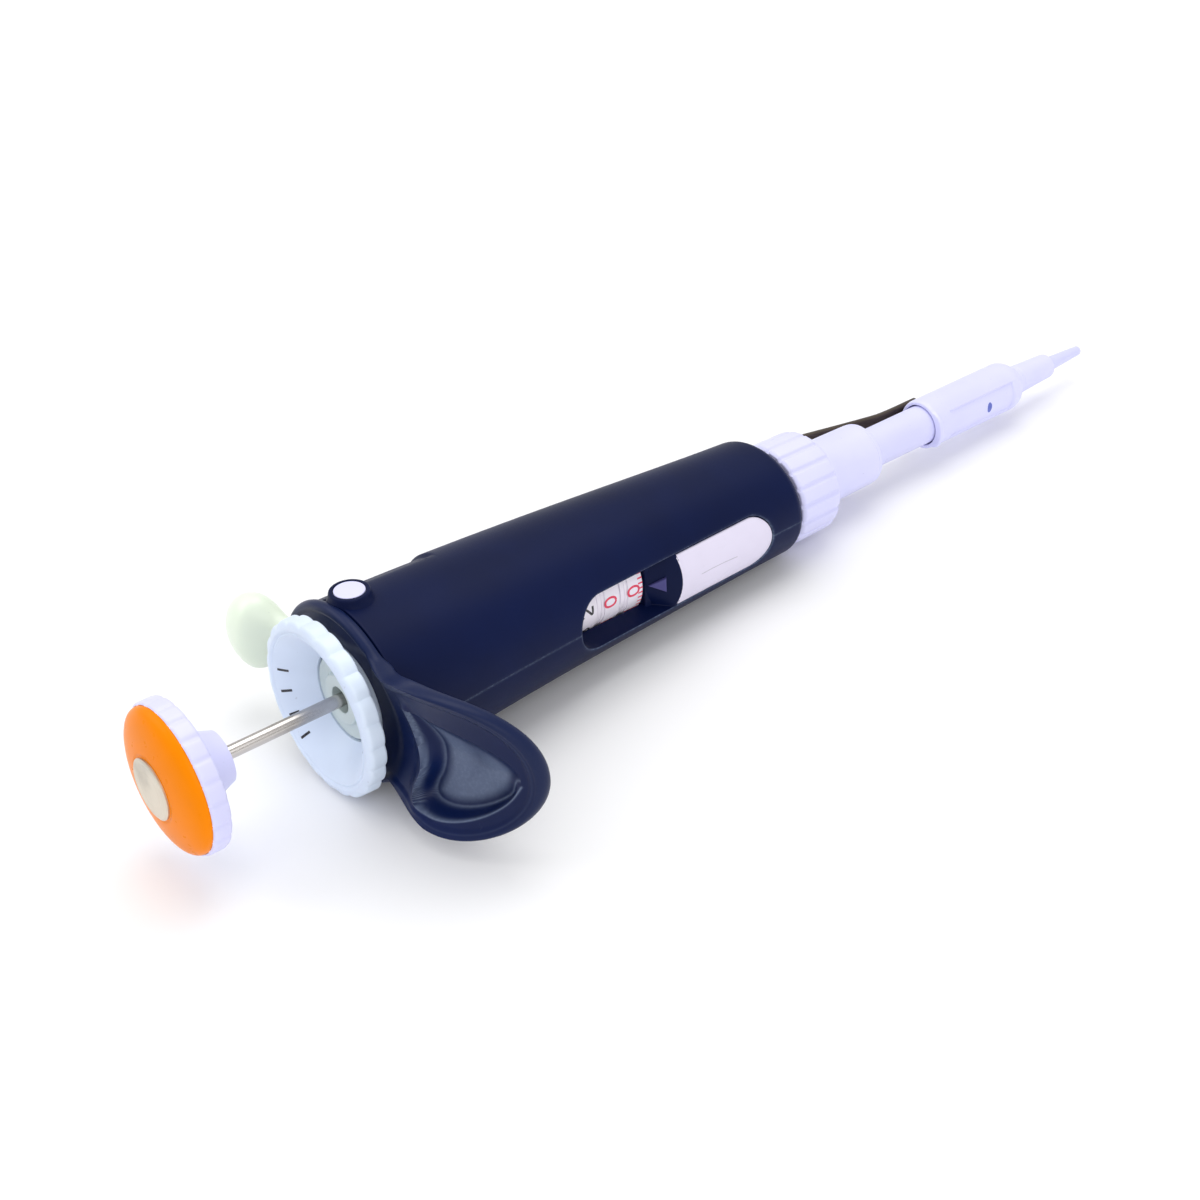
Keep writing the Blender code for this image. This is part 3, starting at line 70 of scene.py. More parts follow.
ALONG = np.array(joint_named("thumbwheel_turn")["axis"])
HANDLE_TOP = np.array(joint_named("thumbwheel_turn")["pos_m"])
TO_HOOK = np.array((0.0, -1.0, 0.0))
UPWARD = np.cross(TO_HOOK, ALONG)
AXES = np.array((UPWARD, TO_HOOK, ALONG))


def to_world(points):
    """World = handle top + x * upward + y * to hook + z * along."""
    return HANDLE_TOP + np.asarray(points, float) @ AXES


def to_drawing(points):
    """Drawing = the world point seen from the handle top along the three axes."""
    return (np.asarray(points, float) - HANDLE_TOP) @ AXES.T


def points_of(node):
    """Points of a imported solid, in the drawing frame."""
    vertices = frame["nodes"][node].data.vertices
    points = np.empty(len(vertices) * 3)
    vertices.foreach_get("co", points)
    return to_drawing(points.reshape(-1, 3))


def extent_of(node):
    """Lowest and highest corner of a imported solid."""
    points = points_of(node)
    return points.min(axis=0), points.max(axis=0)


def ends_of(node):
    """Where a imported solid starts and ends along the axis."""
    low, high = extent_of(node)
    return low[2], high[2]


def bore_of(node):
    """Smallest distance of a packed ring's points from the axis."""
    points = points_of(node)
    return float(np.hypot(points[:, 0], points[:, 1]).min())


# Shader expressions
class Wire:
    """A socket of a finish being built; arithmetic on it adds Math nodes."""

    def __init__(self, finish, socket):
        self.finish = finish
        self.socket = socket

    def _math(self, operation, first, second):
        return self.finish.node("ShaderNodeMath", {"operation": operation},
                                {0: first, 1: second})

    def __add__(self, other):
        return self._math("ADD", self, other)

    def __radd__(self, other):
        return self._math("ADD", other, self)

    def __mul__(self, other):
        return self._math("MULTIPLY", self, other)

    def __rmul__(self, other):
        return self._math("MULTIPLY", other, self)


class Finish:
    """One material under construction, read in Object coordinates."""

    def __init__(self, name, roughness, **constants):
        self.material = bpy.data.materials.new(name)
        self.material.use_nodes = True
        self.tree = self.material.node_tree
        self.shader = self.tree.nodes["Principled BSDF"]
        self.set(Roughness=roughness, **constants)

    def set(self, **sockets):
        """Give sockets of the shader a value or a wire; _ stands for a space."""
        for name, value in sockets.items():
            self.put(self.shader.inputs[name.replace("_", " ")], value)

    def put(self, socket, value):
        if isinstance(value, Wire):
            self.tree.links.new(value.socket, socket)
        else:
            socket.default_value = value

    def node(self, kind, settings=None, sockets=None, output=0):
        """Add a node: its settings first, then the values or wires of its sockets."""
        made = self.tree.nodes.new(kind)
        for name, value in (settings or {}).items():
            if name == "stops":
                self.lay_stops(made.color_ramp, value)
            else:
                setattr(made, name, value)
        for name, value in (sockets or {}).items():
            self.put(made.inputs[name], value)
        return Wire(self, made.outputs[output])

    @staticmethod
    def lay_stops(ramp, stops):
        while len(ramp.elements) < len(stops):
            ramp.elements.new(1.0)
        for element, (position, colour) in zip(ramp.elements, stops):
            element.position = position
            element.color = colour

    def place(self, stretch=(1.0, 1.0, 1.0)):
        """Object coordinates, stretched for a pattern along the world's axes."""
        texture = self.node("ShaderNodeTexCoord", output=3)
        return self.node("ShaderNodeMapping", None, {"Vector": texture, "Scale": stretch})

    def noise(self, scale, detail=2.0, roughness=0.5, stretch=(1.0, 1.0, 1.0)):
        """Cloudy pattern from 0 to 1; scale is in waves per metre."""
        return self.node("ShaderNodeTexNoise", None, {
            "Vector": self.place(stretch), "Scale": scale, "Detail": detail,
            "Roughness": roughness})

    def band(self, value, low, high):
        """0 below low, 1 above high, with a smooth step between them."""
        return self.node("ShaderNodeMapRange", {"interpolation_type": "SMOOTHSTEP"}, {
            "Value": value, "From Min": low, "From Max": high})

    def blend(self, share, first, second):
        """Colour that goes from first to second with the share."""
        return self.node("ShaderNodeMix", {"data_type": "RGBA"}, {
            0: share, 6: first, 7: second}, output=2)

    def attribute(self, name):
        """A number that the mesh keeps for each of its points."""
        return self.node("ShaderNodeAttribute", {"attribute_name": name}, output=2)

    def bump(self, height, strength, distance):
        self.set(Normal=self.node("ShaderNodeBump", None, {
            "Height": height, "Strength": strength, "Distance": distance}))


def colour(red, green, blue):
    """Linear colour of display values from 0 to 255."""
    shares = np.array((red, green, blue)) / 255
    linear = np.where(shares <= 0.04045, shares / 12.92, ((shares + 0.055) / 1.055) ** 2.4)
    return (*linear, 1.0)


DIRT = colour(120, 116, 128)
DUST = colour(92, 98, 125)
# Pale colour of the edge lines and of the painted reflection on the hook's bowl floor
WEAR_AND_SHEEN_COLOUR = colour(122, 136, 162)
FLOOR_CLOUDS = (colour(250, 250, 251), colour(246, 246, 248))


# Finishes
def moulded_plastic(name, main, roughness):
    """Light plastic: faint clouds, pores in the mould and a few specks of dirt."""
    finish = Finish(name, roughness, Coat_Weight=0.15, Coat_Roughness=0.25)
    clouds = finish.band(finish.noise(55.0, 3.0), 0.35, 0.7)
    dirt = finish.band(finish.noise(900.0, 1.0), 0.76, 0.82) * 0.2
    base = finish.blend(clouds, shade(main, 1.0), shade(main, 0.94))
    finish.set(Base_Color=finish.blend(dirt, base, DIRT),
               Roughness=roughness + 0.08 * finish.noise(300.0, 4.0))
    finish.bump(finish.noise(2600.0, 2.0), 0.12, 0.02 * MM)
    return finish.material


def navy_plastic(name, main, roughness, gloss, cover):
    """Dark satin plastic: fine grain, slow lighter clouds of painted sheen, pale edge lines, a
    painted reflection where the mesh asks for one, and light scuffs.

    cover is the share of these pale marks that is even; noise breaks up the rest.
    """
    finish = Finish(name, roughness, Specular_IOR_Level=gloss)
    clouds = finish.band(finish.noise(40.0, 3.0), 0.3, 0.75)
    grain = finish.noise(3200.0, 2.0)
    patches = finish.band(finish.noise(1500.0, 4.0, 0.6), 0.42, 0.7)
    # The mesh's pale marks: edge lines, and on the hook's bowl floor a painted reflection.
    worn = finish.attribute("worn") * (cover + (1 - cover) * patches)
    scuffs = finish.band(finish.noise(160.0, 6.0, 0.7, (1.0, 3.0, 1.0)), 0.66, 0.82) * 0.25
    # Painted sheen: the lighter cloud tone, 1.4 times the main colour, lies in random slow
    # patches.
    base = finish.blend(clouds, shade(main, 1.0), shade(main, 1.4))
    dusty = finish.blend(scuffs, base, DUST)
    finish.set(Base_Color=finish.blend(worn, dusty, WEAR_AND_SHEEN_COLOUR),
               Roughness=roughness + 0.12 * grain + 0.1 * scuffs)
    finish.bump(grain, 0.25, 0.03 * MM)
    return finish.material


def polished_metal(name, main, roughness, grain):
    """Turned metal: fine lines along the axis and faint stains."""
    finish = Finish(name, roughness, Metallic=1.0)
    lines = finish.noise(260.0, 3.0, stretch=grain)
    stains = finish.band(finish.noise(90.0, 4.0), 0.42, 0.7)
    finish.set(Base_Color=finish.blend(stains, shade(main, 1.0), shade(main, 0.7)),
               Roughness=roughness + 0.14 * lines)
    finish.bump(lines, 0.06, 0.02 * MM)
    return finish.material


def glossy_orange(main):
    """Bright moulded cap with slow clouds and a soft dimpled gloss."""
    finish = Finish("orange_cap", 0.3, Specular_IOR_Level=0.06)
    clouds = finish.band(finish.noise(70.0, 3.0), 0.3, 0.8)
    finish.set(Base_Color=finish.blend(clouds, shade(main, 1.0), shade(main, 0.94)),
               Roughness=0.24 + 0.1 * finish.noise(500.0, 3.0))
    finish.bump(finish.noise(700.0, 2.0), 0.05, 0.02 * MM)
    return finish.material


def writable_label(main):
    """Satin film with a faint pencil line and rubbed patches."""
    finish = Finish("label_film", 0.5)
    clouds = finish.band(finish.noise(80.0, 3.0), 0.35, 0.75)
    rubbed = finish.band(finish.noise(260.0, 5.0, stretch=(1.0, 6.0, 1.0)), 0.62, 0.8) * 0.3
    base = finish.blend(clouds, shade(main, 1.0), shade(main, 0.95))
    finish.set(Base_Color=finish.blend(rubbed, base, shade(main, 0.75)),
               Roughness=0.45 + 0.1 * clouds)
    return finish.material


def printed_ink(name, main):
    """Thin print, a little uneven in its cover."""
    finish = Finish(name, 0.45)
    cover = finish.band(finish.noise(1500.0, 3.0), 0.3, 0.75)
    finish.set(Base_Color=finish.blend(cover, shade(main, 1.0), paler(main, 0.06)),
               Roughness=0.4 + 0.1 * cover)
    return finish.material


def black_rubber(main):
    """Matt black with a little dust."""
    finish = Finish("black_rubber", 0.6)
    dust = finish.noise(500.0, 3.0)
    finish.set(Base_Color=finish.blend(dust, shade(main, 1.0), paler(main, 0.02)))
    return finish.material


def shade(value, share):
    """A colour times a share, with its alpha."""
    return (*(min(part * share, 1.0) for part in value), 1.0)


def paler(value, share):
    """A colour moved towards white by a share, with its alpha."""
    return (*(part + (1 - part) * share for part in value), 1.0)


def make_finishes(tints):
    """All finishes of the object, by the record's slot or by their own use."""
    moulded = (("white_plastic", tints.white, 0.42), ("knob_plastic", tints.knob, 0.3),
               ("drum_plastic", tints.drum, 0.4), ("dish_plastic", tints.dish, 0.4),
               ("hub_shaded_plastic", tints.hub, 0.3), ("nozzle_plastic", tints.nozzle, 0.36))
    dark = (("navy_plastic", tints.handle, 0.4, 0.12, 0.4),
            ("navy_gloss", tints.hook, 0.3, 0.18, 0.85),
            ("pointer_plastic", tints.pointer, 0.5, 0.3, 0.4))
    metal = (("medallion_metal", tints.medallion, 0.3, (1.0, 1.0, 1.0)),
             ("steel", tints.steel, 0.14, (1.0, 14.0, 14.0)),
             ("dark_steel", tints.strip, 0.3, (1.0, 14.0, 14.0)),
             ("brass", tints.brass, 0.28, (1.0, 14.0, 14.0)))
    ink = (("black_ink", tints.black_ink), ("red_ink", tints.red_ink),
           ("blue_ink", tints.blue_ink), ("pencil", tints.pencil))
    made = {name: moulded_plastic(name, value, rough) for name, value, rough in moulded}
    made.update({row[0]: navy_plastic(*row) for row in dark})
    made.update({row[0]: polished_metal(*row) for row in metal})
    made.update({name: printed_ink(name, value) for name, value in ink})
    made["orange_plastic"] = glossy_orange(tints.cap)
    made["label"] = writable_label(tints.label)
    made["rubber"] = black_rubber(tints.rubber)
    return made


FINISHES = {}

FINISH_OF_NODES = {
    "navy_plastic": (
        "handle_shell_upper", "handle_shell_lower", "window_frame", "counter_plate_upper",
        "counter_plate_lower"),
    "navy_gloss": ("finger_hook",),
    "white_plastic": (
        "id_plug", "thumbwheel_cup", "thumbwheel_hub", "detent_wheel", "button_body",
        "tip_holder_body", "tip_holder_tube", "tip_nozzle", "coupling_nut", "ejector_sleeve",
        "ejector_nose", "piston_seal"),
    "knob_plastic": ("ejector_knob",),
    "drum_plastic": ("drum_units", "drum_tenths", "drum_hundredths"),
    "orange_plastic": ("button_cap",),
    "medallion_metal": ("button_medallion",),
    "steel": (
        "operating_rod", "stop_collar", "piston", "counter_sleeve", "ejector_bracket",
        "ejector_rod", "seal_retainer", "spring_seat", "blow_out_spring", "piston_spring",
        "ejector_spring"),
    "dark_steel": ("ejector_strip",),
    "brass": ("adjusting_screw", "screw_nut", "handle_spigot", "piston_head"),
    "label": ("label_strip",),
    "rubber": ("piston_o_ring",),
}


# Sizes that a user would change
def size(title, millimetres, about):
    """A length, given in millimetres and kept in metres."""
    return bpy.props.FloatProperty(
        name=title, description=about, default=millimetres * MM, unit="LENGTH", precision=5)


def size_row(title, millimetres, about):
    """Lengths at the handle's stations, given in millimetres."""
    return bpy.props.FloatVectorProperty(
        name=title, description=about, size=len(millimetres), precision=5,
        default=[value * MM for value in millimetres])


def factor(title, value, about):
    return bpy.props.FloatProperty(name=title, description=about, default=value)


def count(title, value, about):
    return bpy.props.IntProperty(name=title, description=about, default=value, min=3)


def tint(title, red, green, blue, about):
    """A surface colour, given as display values from 0 to 255 and kept linear."""
    return bpy.props.FloatVectorProperty(
        name=title, description=about, size=3, subtype="COLOR", min=0.0, max=1.0,
        default=colour(red, green, blue)[:3])


class PieceColours(bpy.types.PropertyGroup):
    handle: tint("Handle", 4, 16, 54, "Of the two handle shells and the window's frame")
    hook: tint("Finger hook", 6, 22, 64, "Of the hook and its collar")
    pointer: tint("Pointer", 72, 70, 126, "Of the mark on the ramp")
    white: tint("White pieces", 219, 219, 255, "Of the button's body, nut, holder and sleeve")
    knob: tint("Thumb knob", 238, 250, 230, "Of the ejector's knob")
    drum: tint("Drums", 246, 240, 252, "Of the counter's drums")
    dish: tint("Thumbwheel", 221, 234, 252, "Of the wheel's rim and dish")
    # Darker and greyer than the dish: partly the hub's own grey-green, partly painted shade for
    # the hub deep in the dish.
    hub: tint("Wheel hub", 200, 214, 212, "Of the dish's floor")
    nozzle: tint("Nozzle", 211, 212, 252, "Of the nozzle")
    cap: tint("Cap", 250, 138, 0, "Of the coloured button cap")
    medallion: tint("Medallion", 214, 206, 190, "Of the disc in the cap")
    steel: tint("Steel", 205, 200, 196, "Of the rod, springs and collars")
    strip: tint("Strip", 98, 88, 80, "Of the ejector's flat strip")
    brass: tint("Brass", 205, 172, 104, "Of the screw, its nut and the spigot")
    label: tint("Label", 226, 220, 240, "Of the write-on film")
    rubber: tint("Rubber", 22, 22, 24, "Of the sealing ring")
    black_ink: tint("Black print", 24, 24, 30, "Of the first drum and the dish's marks")
    red_ink: tint("Red print", 226, 42, 84, "Of the last two drums")
    blue_ink: tint("Blue print", 78, 96, 190, "Of the sleeve's dot")
    pencil: tint("Pencil", 172, 168, 182, "Of the faint line on the label")


class HandleSizes(bpy.types.PropertyGroup):
    stations: size_row("Stations", (0, 16, 38, 58, 80, 105), "Where the oval is measured")
    depths: size_row("Half depths", (19.0, 18.6, 17.5, 16.6, 15.4, 14.3), "Towards the hook")
    widths: size_row("Half widths", (17.9, 16.6, 15.4, 14.5, 13.4, 12.4), "Towards the flanks")
    shifts: size_row("Shifts", (1.4, 2.6, 3.2, 3.0, 2.6, 2.0), "Of the oval, to the knob")
    top: size("Top", 1.36, "Where the shell starts under the hook plate")
    wall: size("Wall", 1.8, "Thickness of the shell")
    end_rounding: size("End rounding", 2.2, "Of the shell's edge by the nut")
    bore: size("Bore", 9.3, "Of the end wall, round the spigot")
    parting_half_gap: size("Parting half gap", 0.012, "Between a half and the parting plane")
    parting_lip: size("Parting lip", 0.09, "Rounding along the parting line")
    window_start: size("Window start", 43.5, "End of the window by the wheel")
    window_end: size("Window end", 95.5, "End of the window by the nut")
    window_half: size("Window half width", 6.0, "Of the opening in the shells")
    window_lip: size("Window lip", 0.4, "Rounding round the window")
    slot_end: size("Slot end", 24.4, "End of the ejector's slot")
    slot_half: size("Slot half width", 6.55, "Of the ejector's slot")
    slot_corner: size("Slot corner", 4.0, "Length over which the slot closes")
    step_at: size("Step", 26.0, "Where the flanks rise round the slot")
    step_depth: size("Step depth", 0.7, "Of the sunk flanks")
    step_length: size("Step length", 0.8, "Over which the flanks rise")
    plug_at: size("Plug place", 4.6, "Of the colour plug, from the top")
    plug_shift: size("Plug shift", 3.4, "Of the plug, to the knob")
    plug_radius: size("Plug radius", 2.95, "Of the white disc")
    plug_top: size("Plug top", 19.25, "Height of the disc over the axis")
    boss_wall: size("Boss wall", 0.75, "Of the ring round the disc")


class HookSizes(bpy.types.PropertyGroup):
    plate_top: size("Plate top", -0.6, "Face of the collar plate")
    plate_height: size("Plate height", 1.9, "Of the collar plate")
    bore: size("Bore", 10.55, "Round the wheel's boss")
    slot_at: size("Slot", 16.1, "Reach of the collar at the slider's slot")
    well: size("Well", 13.6, "Radius of the sunk face under the wheel")
    well_at_hook: size("Well at the hook", 18.2, "Its radius on the hook side")
    well_depth: size("Well depth", 0.5, "Of the sunk face")
    reach: size("Reach", 44.98, "Of the blade from the axis")
    waist: size("Waist", 12.8, "Half width of the blade by the collar")
    waist_at: size("Waist place", 15.0, "Reach of the waist")
    flare: size("Flare", 15.8, "Greatest half width of the blade")
    flare_at: size("Flare place", 27.0, "Reach of the greatest width")
    sweep: size("Sweep", 10.2, "Curl of the blade towards the tip")
    sweep_from: size("Sweep start", 24.0, "Reach where the curl starts")
    lip_rise: size("Lip rise", 3.1, "How far the side lips stand up")
    lip_from: size("Lip start", 9.0, "Reach where the side lips start")
    thickness: size("Thickness", 3.0, "Of the blade")
    edge: size("Edge", 1.1, "Radius of the rounded edge")
    plate_edge: size("Plate edge", 0.9, "Radius of the plate's rounded edge")
    bead: size("Bead", 0.4, "Height of the rim's bead")
    bead_width: size("Bead width", 1.3, "Of the rim's bead")
    bowl_depth: size("Bowl depth", 3.6, "Of the finger rest under its crest")
    bowl_wall: size("Bowl wall", 1.3, "Width of the wall below the crest")
    bowl_bank: size("Bowl bank", 8.0, "Over which the floor rises to the upper lip")
    crest_rise: size("Crest rise", 0.8, "Of the crest between wheel and bowl")
    upper_side: factor("Upper side", 1.05, "Share of the half width on the upper flank")
    lower_side: factor("Lower side", 0.93, "Share of the half width on the lower flank")
    rib: size("Rib", 3.0, "Thickening under the root")
    rib_length: size("Rib length", 10.0, "Over which the rib fades")


class ButtonSizes(bpy.types.PropertyGroup):
    face: size("Face", -41.0, "Front of the medallion")
    cap_radius: size("Cap radius", 14.1, "Of the orange cap")
    cap_dome: size("Cap dome", 3.9, "Height of the cap's dome")
    rim_radius: size("Rim radius", 14.65, "Of the white rim")
    rim_height: size("Rim height", 3.7, "Of the white rim")
    scallops: count("Scallops", 22, "Round the rim")
    scallop_depth: size("Scallop depth", 0.35, "Of the grooves in the rim")
    neck_root: size("Neck root", 7.0, "Radius where the neck starts")
    neck_radius: size("Neck radius", 5.4, "Of the neck")
    neck_height: size("Neck height", 6.4, "Of the neck")
    medallion_radius: size("Medallion radius", 5.9, "Of the metal disc")
    medallion_height: size("Medallion height", 0.8, "Of the metal disc")
    rod_radius: size("Rod radius", 1.3, "Of the steel rod")


class WheelSizes(bpy.types.PropertyGroup):
    radius: size("Radius", 17.6, "Of the thumbwheel")
    front: size("Front", -7.5, "Face of the rim")
    back: size("Back", -3.6, "Back of the rim")
    lobes: count("Lobes", 22, "Round the rim")
    lobe_depth: size("Lobe depth", 0.5, "Of the valleys between the lobes")
    mouth: size("Mouth", 15.3, "Radius of the dish at its mouth")
    floor_radius: size("Floor radius", 8.8, "Of the dish's floor")
    floor_at: size("Floor", -1.4, "Of the dish")
    boss_radius: size("Boss radius", 10.2, "That runs in the collar plate")
    boss_end: size("Boss end", 2.0, "Of the boss")
    ring_radius: size("Ring radius", 5.0, "Of the raised ring on the hub")
    ring_height: size("Ring height", 0.9, "Of the raised ring")
    stem_radius: size("Stem radius", 5.6, "Of the hub's stem")
    stem_end: size("Stem end", 9.6, "Of the hub's stem")


class CounterSizes(bpy.types.PropertyGroup):
    drum_radius: size("Drum radius", 8.7, "Of the printed bands of the drums")
    drum_step: size("Drum step", 0.35, "Between a printed band and the plain one beside it")
    plain_width: size("Plain band", 1.7, "Width of the plain band of a drum")
    digit_height: size("Digit height", 2.8, "Of the numbers")
    digit_width: size("Digit width", 2.15, "Of the numbers")
    stroke: size("Stroke", 0.48, "Width of the printed line")
    ink: size("Ink", 0.02, "Height of the print")
    tick_length: size("Tick length", 1.1, "Of the scale on the last drum")
    tick_width: size("Tick width", 0.34, "Of the scale on the last drum")
    ticks: count("Ticks", 50, "On the last drum")
    label_start: size("Label start", 69.2, "End of the label by the drums")
    label_end: size("Label end", 95.2, "End of the label by the nut")
    label_half: size("Label half width", 5.66, "Of the write-on label")
    label_sink: size("Label sink", 0.22, "Under the handle's skin")
    label_thickness: size("Label thickness", 0.5, "Of the label")
    label_corner: size("Label corner", 0.5, "Radius by the drums")
    well_gap: size("Well gap", 0.22, "Between the well and the drums")
    well_half: size("Well half width", 4.75, "Of the well by the drums")
    well_start: size("Well start", 44.7, "Foot of the well by the wheel")
    well_end: size("Well end", 63.9, "Foot of the ramp")
    ramp_end: size("Ramp end", 69.0, "Top of the ramp")
    ramp_bow: size("Ramp bow", 0.85, "Of the ramp's end into the label")
    pointer_length: size("Pointer length", 3.6, "Of the mark on the ramp")
    pointer_half: size("Pointer half width", 1.6, "Of the mark on the ramp")


class EjectorSizes(bpy.types.PropertyGroup):
    knob_reach: size("Knob reach", 30.3, "Of the thumb knob from the axis")
    knob_at: size("Knob place", -1.3, "Middle of the knob")
    knob_radius: size("Knob radius", 7.9, "Of the knob")
    knob_height: size("Knob height", 10.8, "Of the knob")
    neck_half: size("Neck half width", 4.4, "Of the knob's neck")
    slider_half: size("Slider half width", 6.2, "Of the slider")
    slider_start: size("Slider start", -0.4, "Of the slider")
    slider_end: size("Slider end", 16.0, "Of the slider")
    slider_reach: size("Slider reach", 20.6, "Of the slider's outer face")
    slider_thickness: size("Slider thickness", 2.2, "Of the slider")
    strip_half: size("Strip half width", 2.5, "Of the flat strip")
    strip_thickness: size("Strip thickness", 1.2, "Of the flat strip")
    strip_bend: size("Strip bend", 122.0, "Where the strip turns in")
    strip_land: size("Strip landing", 148.0, "Where it lies on the sleeve")
    sleeve_start: size("Sleeve start", 153.3, "Of the ejector sleeve")
    sleeve_end: size("Sleeve end", 184.6, "Of the ejector sleeve")
    sleeve_radius: size("Sleeve radius", 5.75, "Of the ejector sleeve")
    sleeve_bore: size("Sleeve bore", 4.8, "Of the ejector sleeve")
    panel_half: size("Panel half width", 3.6, "Of the sunk panel")
    panel_depth: size("Panel depth", 0.5, "Of the sunk panel")
    panel_start: size("Panel start", 4.8, "Of the panel, from the sleeve's start")
    panel_end: size("Panel end", 26.4, "Of the panel, from the sleeve's start")
    dot_at: size("Dot place", 18.0, "Of the dot, from the sleeve's start")
    dot_half: size("Dot half width", 1.25, "Of the oval dot in the panel")
    dot_height: size("Dot half length", 0.75, "Of the oval dot in the panel")
    lip: size("Lip", 0.9, "Thumb lip at the sleeve's start")
    lip_length: size("Lip length", 1.6, "Of the thumb lip")
    nose_end: size("Nose end", 197.8, "Of the sleeve's nose")
    nose_top: size("Nose top radius", 3.4, "By the sleeve")
    nose_low: size("Nose end radius", 2.9, "By the nozzle")
    nose_bore: size("Nose bore", 1.85, "Round the nozzle")


class TipSizes(bpy.types.PropertyGroup):
    nut_start: size("Nut start", 105.5, "Of the coupling nut")
    nut_end: size("Nut end", 116.8, "Of the fluted part")
    nut_radius: size("Nut radius", 11.4, "Of the flutes")
    nut_step: size("Nut step radius", 9.4, "Of the thin step")
    nut_bore: size("Nut bore", 9.3, "Round the spigot")
    flutes: count("Flutes", 18, "Round the nut")
    flute_depth: size("Flute depth", 0.45, "Of the grooves")
    flute_width: size("Flute width", 0.75, "Of the grooves")
    holder_top: size("Holder top radius", 7.3, "Of the tip holder's body")
    holder_low: size("Holder end radius", 7.0, "Of the tip holder's body")
    holder_flange: size("Holder flange", 8.9, "Radius inside the nut")
    holder_end: size("Holder end", 134.2, "Of the tip holder's body")
    holder_bore: size("Holder bore", 5.8, "Round the piston's head and its spring")
    holder_wall: size("Holder end wall", 2.0, "Thickness of the wall under the spring")
    tube_radius: size("Tube radius", 4.45, "Of the tube")
    tube_end: size("Tube end", 180.0, "Of the tube")
    nozzle_top: size("Nozzle top radius", 1.5, "Of the nozzle inside the tube")
    nozzle_wide: size("Nozzle radius", 1.78, "Where the nozzle leaves the nose")
    nozzle_wide_at: size("Nozzle place", 197.0, "Where the nozzle leaves the nose")
    nozzle_low: size("Nozzle end radius", 1.12, "Of the nozzle")
    nozzle_end: size("Nozzle end", 209.7, "Of the nozzle")
    nozzle_bore: size("Nozzle bore", 0.35, "Of the nozzle")


class PipetteStage(bpy.types.PropertyGroup):
    camera_place: bpy.props.FloatVectorProperty(
        name="Camera place", description="Where the camera stands in the drawing frame",
        default=(194.48 * MM, 246.79 * MM, -135.48 * MM), unit="LENGTH", subtype="TRANSLATION")
    camera_right: bpy.props.FloatVectorProperty(
        name="Camera right", description="The picture's right in the world",
        default=(0.76452, -0.63915, -0.08312), subtype="DIRECTION")
    camera_up: bpy.props.FloatVectorProperty(
        name="Camera up", description="The picture's top in the world",
        default=(0.41563, 0.39035, 0.82148), subtype="DIRECTION")
    lens: bpy.props.FloatProperty(
        name="Lens", description="Focal length in millimetres on a 36 mm sensor",
        default=55.62, min=10.0)
    floor_size: bpy.props.FloatProperty(
        name="Floor", description="Side of the square floor", default=6.0, unit="LENGTH")
    sky_strength: bpy.props.FloatProperty(
        name="Room light", description="Strength of the even light of the room", default=0.68)


class PIPETTE_OT_stage(bpy.types.Operator):
    """Pale floor, soft studio light and the camera of the photograph"""

    bl_idname = "pipette.stage"
    bl_label = "Stage"

    def execute(self, context):
        stage = context.scene.pipette_stage
        add_floor(stage)
        add_lights()
        add_camera(stage)
        light_room(stage)
        context.scene.view_settings.view_transform = "Standard"
        return {"FINISHED"}


def add_floor(stage):
    finish = Finish("pale_floor", 0.9)
    clouds = finish.noise(3.0, 2.0)
    finish.set(Base_Color=finish.blend(clouds, *FLOOR_CLOUDS))
    half = stage.floor_size / 2
    mesh = bpy.data.meshes.new("floor")
    mesh.from_pydata([(-half, -half, 0), (half, -half, 0), (half, half, 0), (-half, half, 0)],
                     [], [(0, 1, 2, 3)])
    mesh.materials.append(finish.material)
    floor = bpy.data.objects.new("floor", mesh)
    bpy.context.scene.collection.objects.link(floor)


# Name, place in metres, width in metres and power in watts
LAMPS = (("key", (0.25, 0.1, 1.05), 0.9, 4.4), ("fill", (-0.3, -0.9, 0.6), 0.9, 2.8),
         ("back", (-0.45, 0.6, 0.7), 0.8, 2.4))


def add_lights():
    """Large soft areas: a key from above, a fill from the front and a back light."""
    for name, place, width, power in LAMPS:
        lamp = bpy.data.lights.new(name, "AREA")
        lamp.shape = "DISK"
        lamp.size = width
        lamp.energy = power
        light = bpy.data.objects.new(name, lamp)
        light.location = place
        light.rotation_mode = "QUATERNION"
        light.rotation_quaternion = Vector(place).to_track_quat("Z", "Y")
        bpy.context.scene.collection.objects.link(light)


def add_camera(stage):
    right = Vector(stage.camera_right).normalized()
    up = Vector(stage.camera_up)
    up = (up - up.dot(right) * right).normalized()
    back = right.cross(up)
    lens = bpy.data.cameras.new("photo_view")
    lens.lens = stage.lens
    lens.sensor_width = 36.0
    camera = bpy.data.objects.new("photo_view", lens)
    camera.matrix_world = Matrix.Translation(to_world(stage.camera_place)) @ Matrix(
        (right, up, back)).transposed().to_4x4()
    bpy.context.scene.collection.objects.link(camera)
    bpy.context.scene.camera = camera


def light_room(stage):
    world = bpy.data.worlds.new("studio")
    world.use_nodes = True
    background = world.node_tree.nodes["Background"]
    background.inputs["Color"].default_value = (1.0, 1.0, 1.0, 1.0)
    background.inputs["Strength"].default_value = stage.sky_strength
    bpy.context.scene.world = world


class PIPETTE_OT_finishes(bpy.types.Operator):
    """Every finish, from the colours chosen"""

    bl_idname = "pipette.finishes"
    bl_label = "Finishes"

    def execute(self, context):
        FINISHES.update(make_finishes(context.scene.pipette_colours))
        return {"FINISHED"}


# Inner pieces keep their solids
class PIPETTE_OT_inner_pieces(bpy.types.Operator):
    """Finish the solids that keep their own shape"""

    bl_idname = "pipette.inner_pieces"
    bl_label = "Inner pieces"

    def execute(self, context):
        for finish, names in FINISH_OF_NODES.items():
            for name in names:
                slots = frame["nodes"][name].data.materials
                slots.clear()
                slots.append(FINISHES[finish])
        return {"FINISHED"}


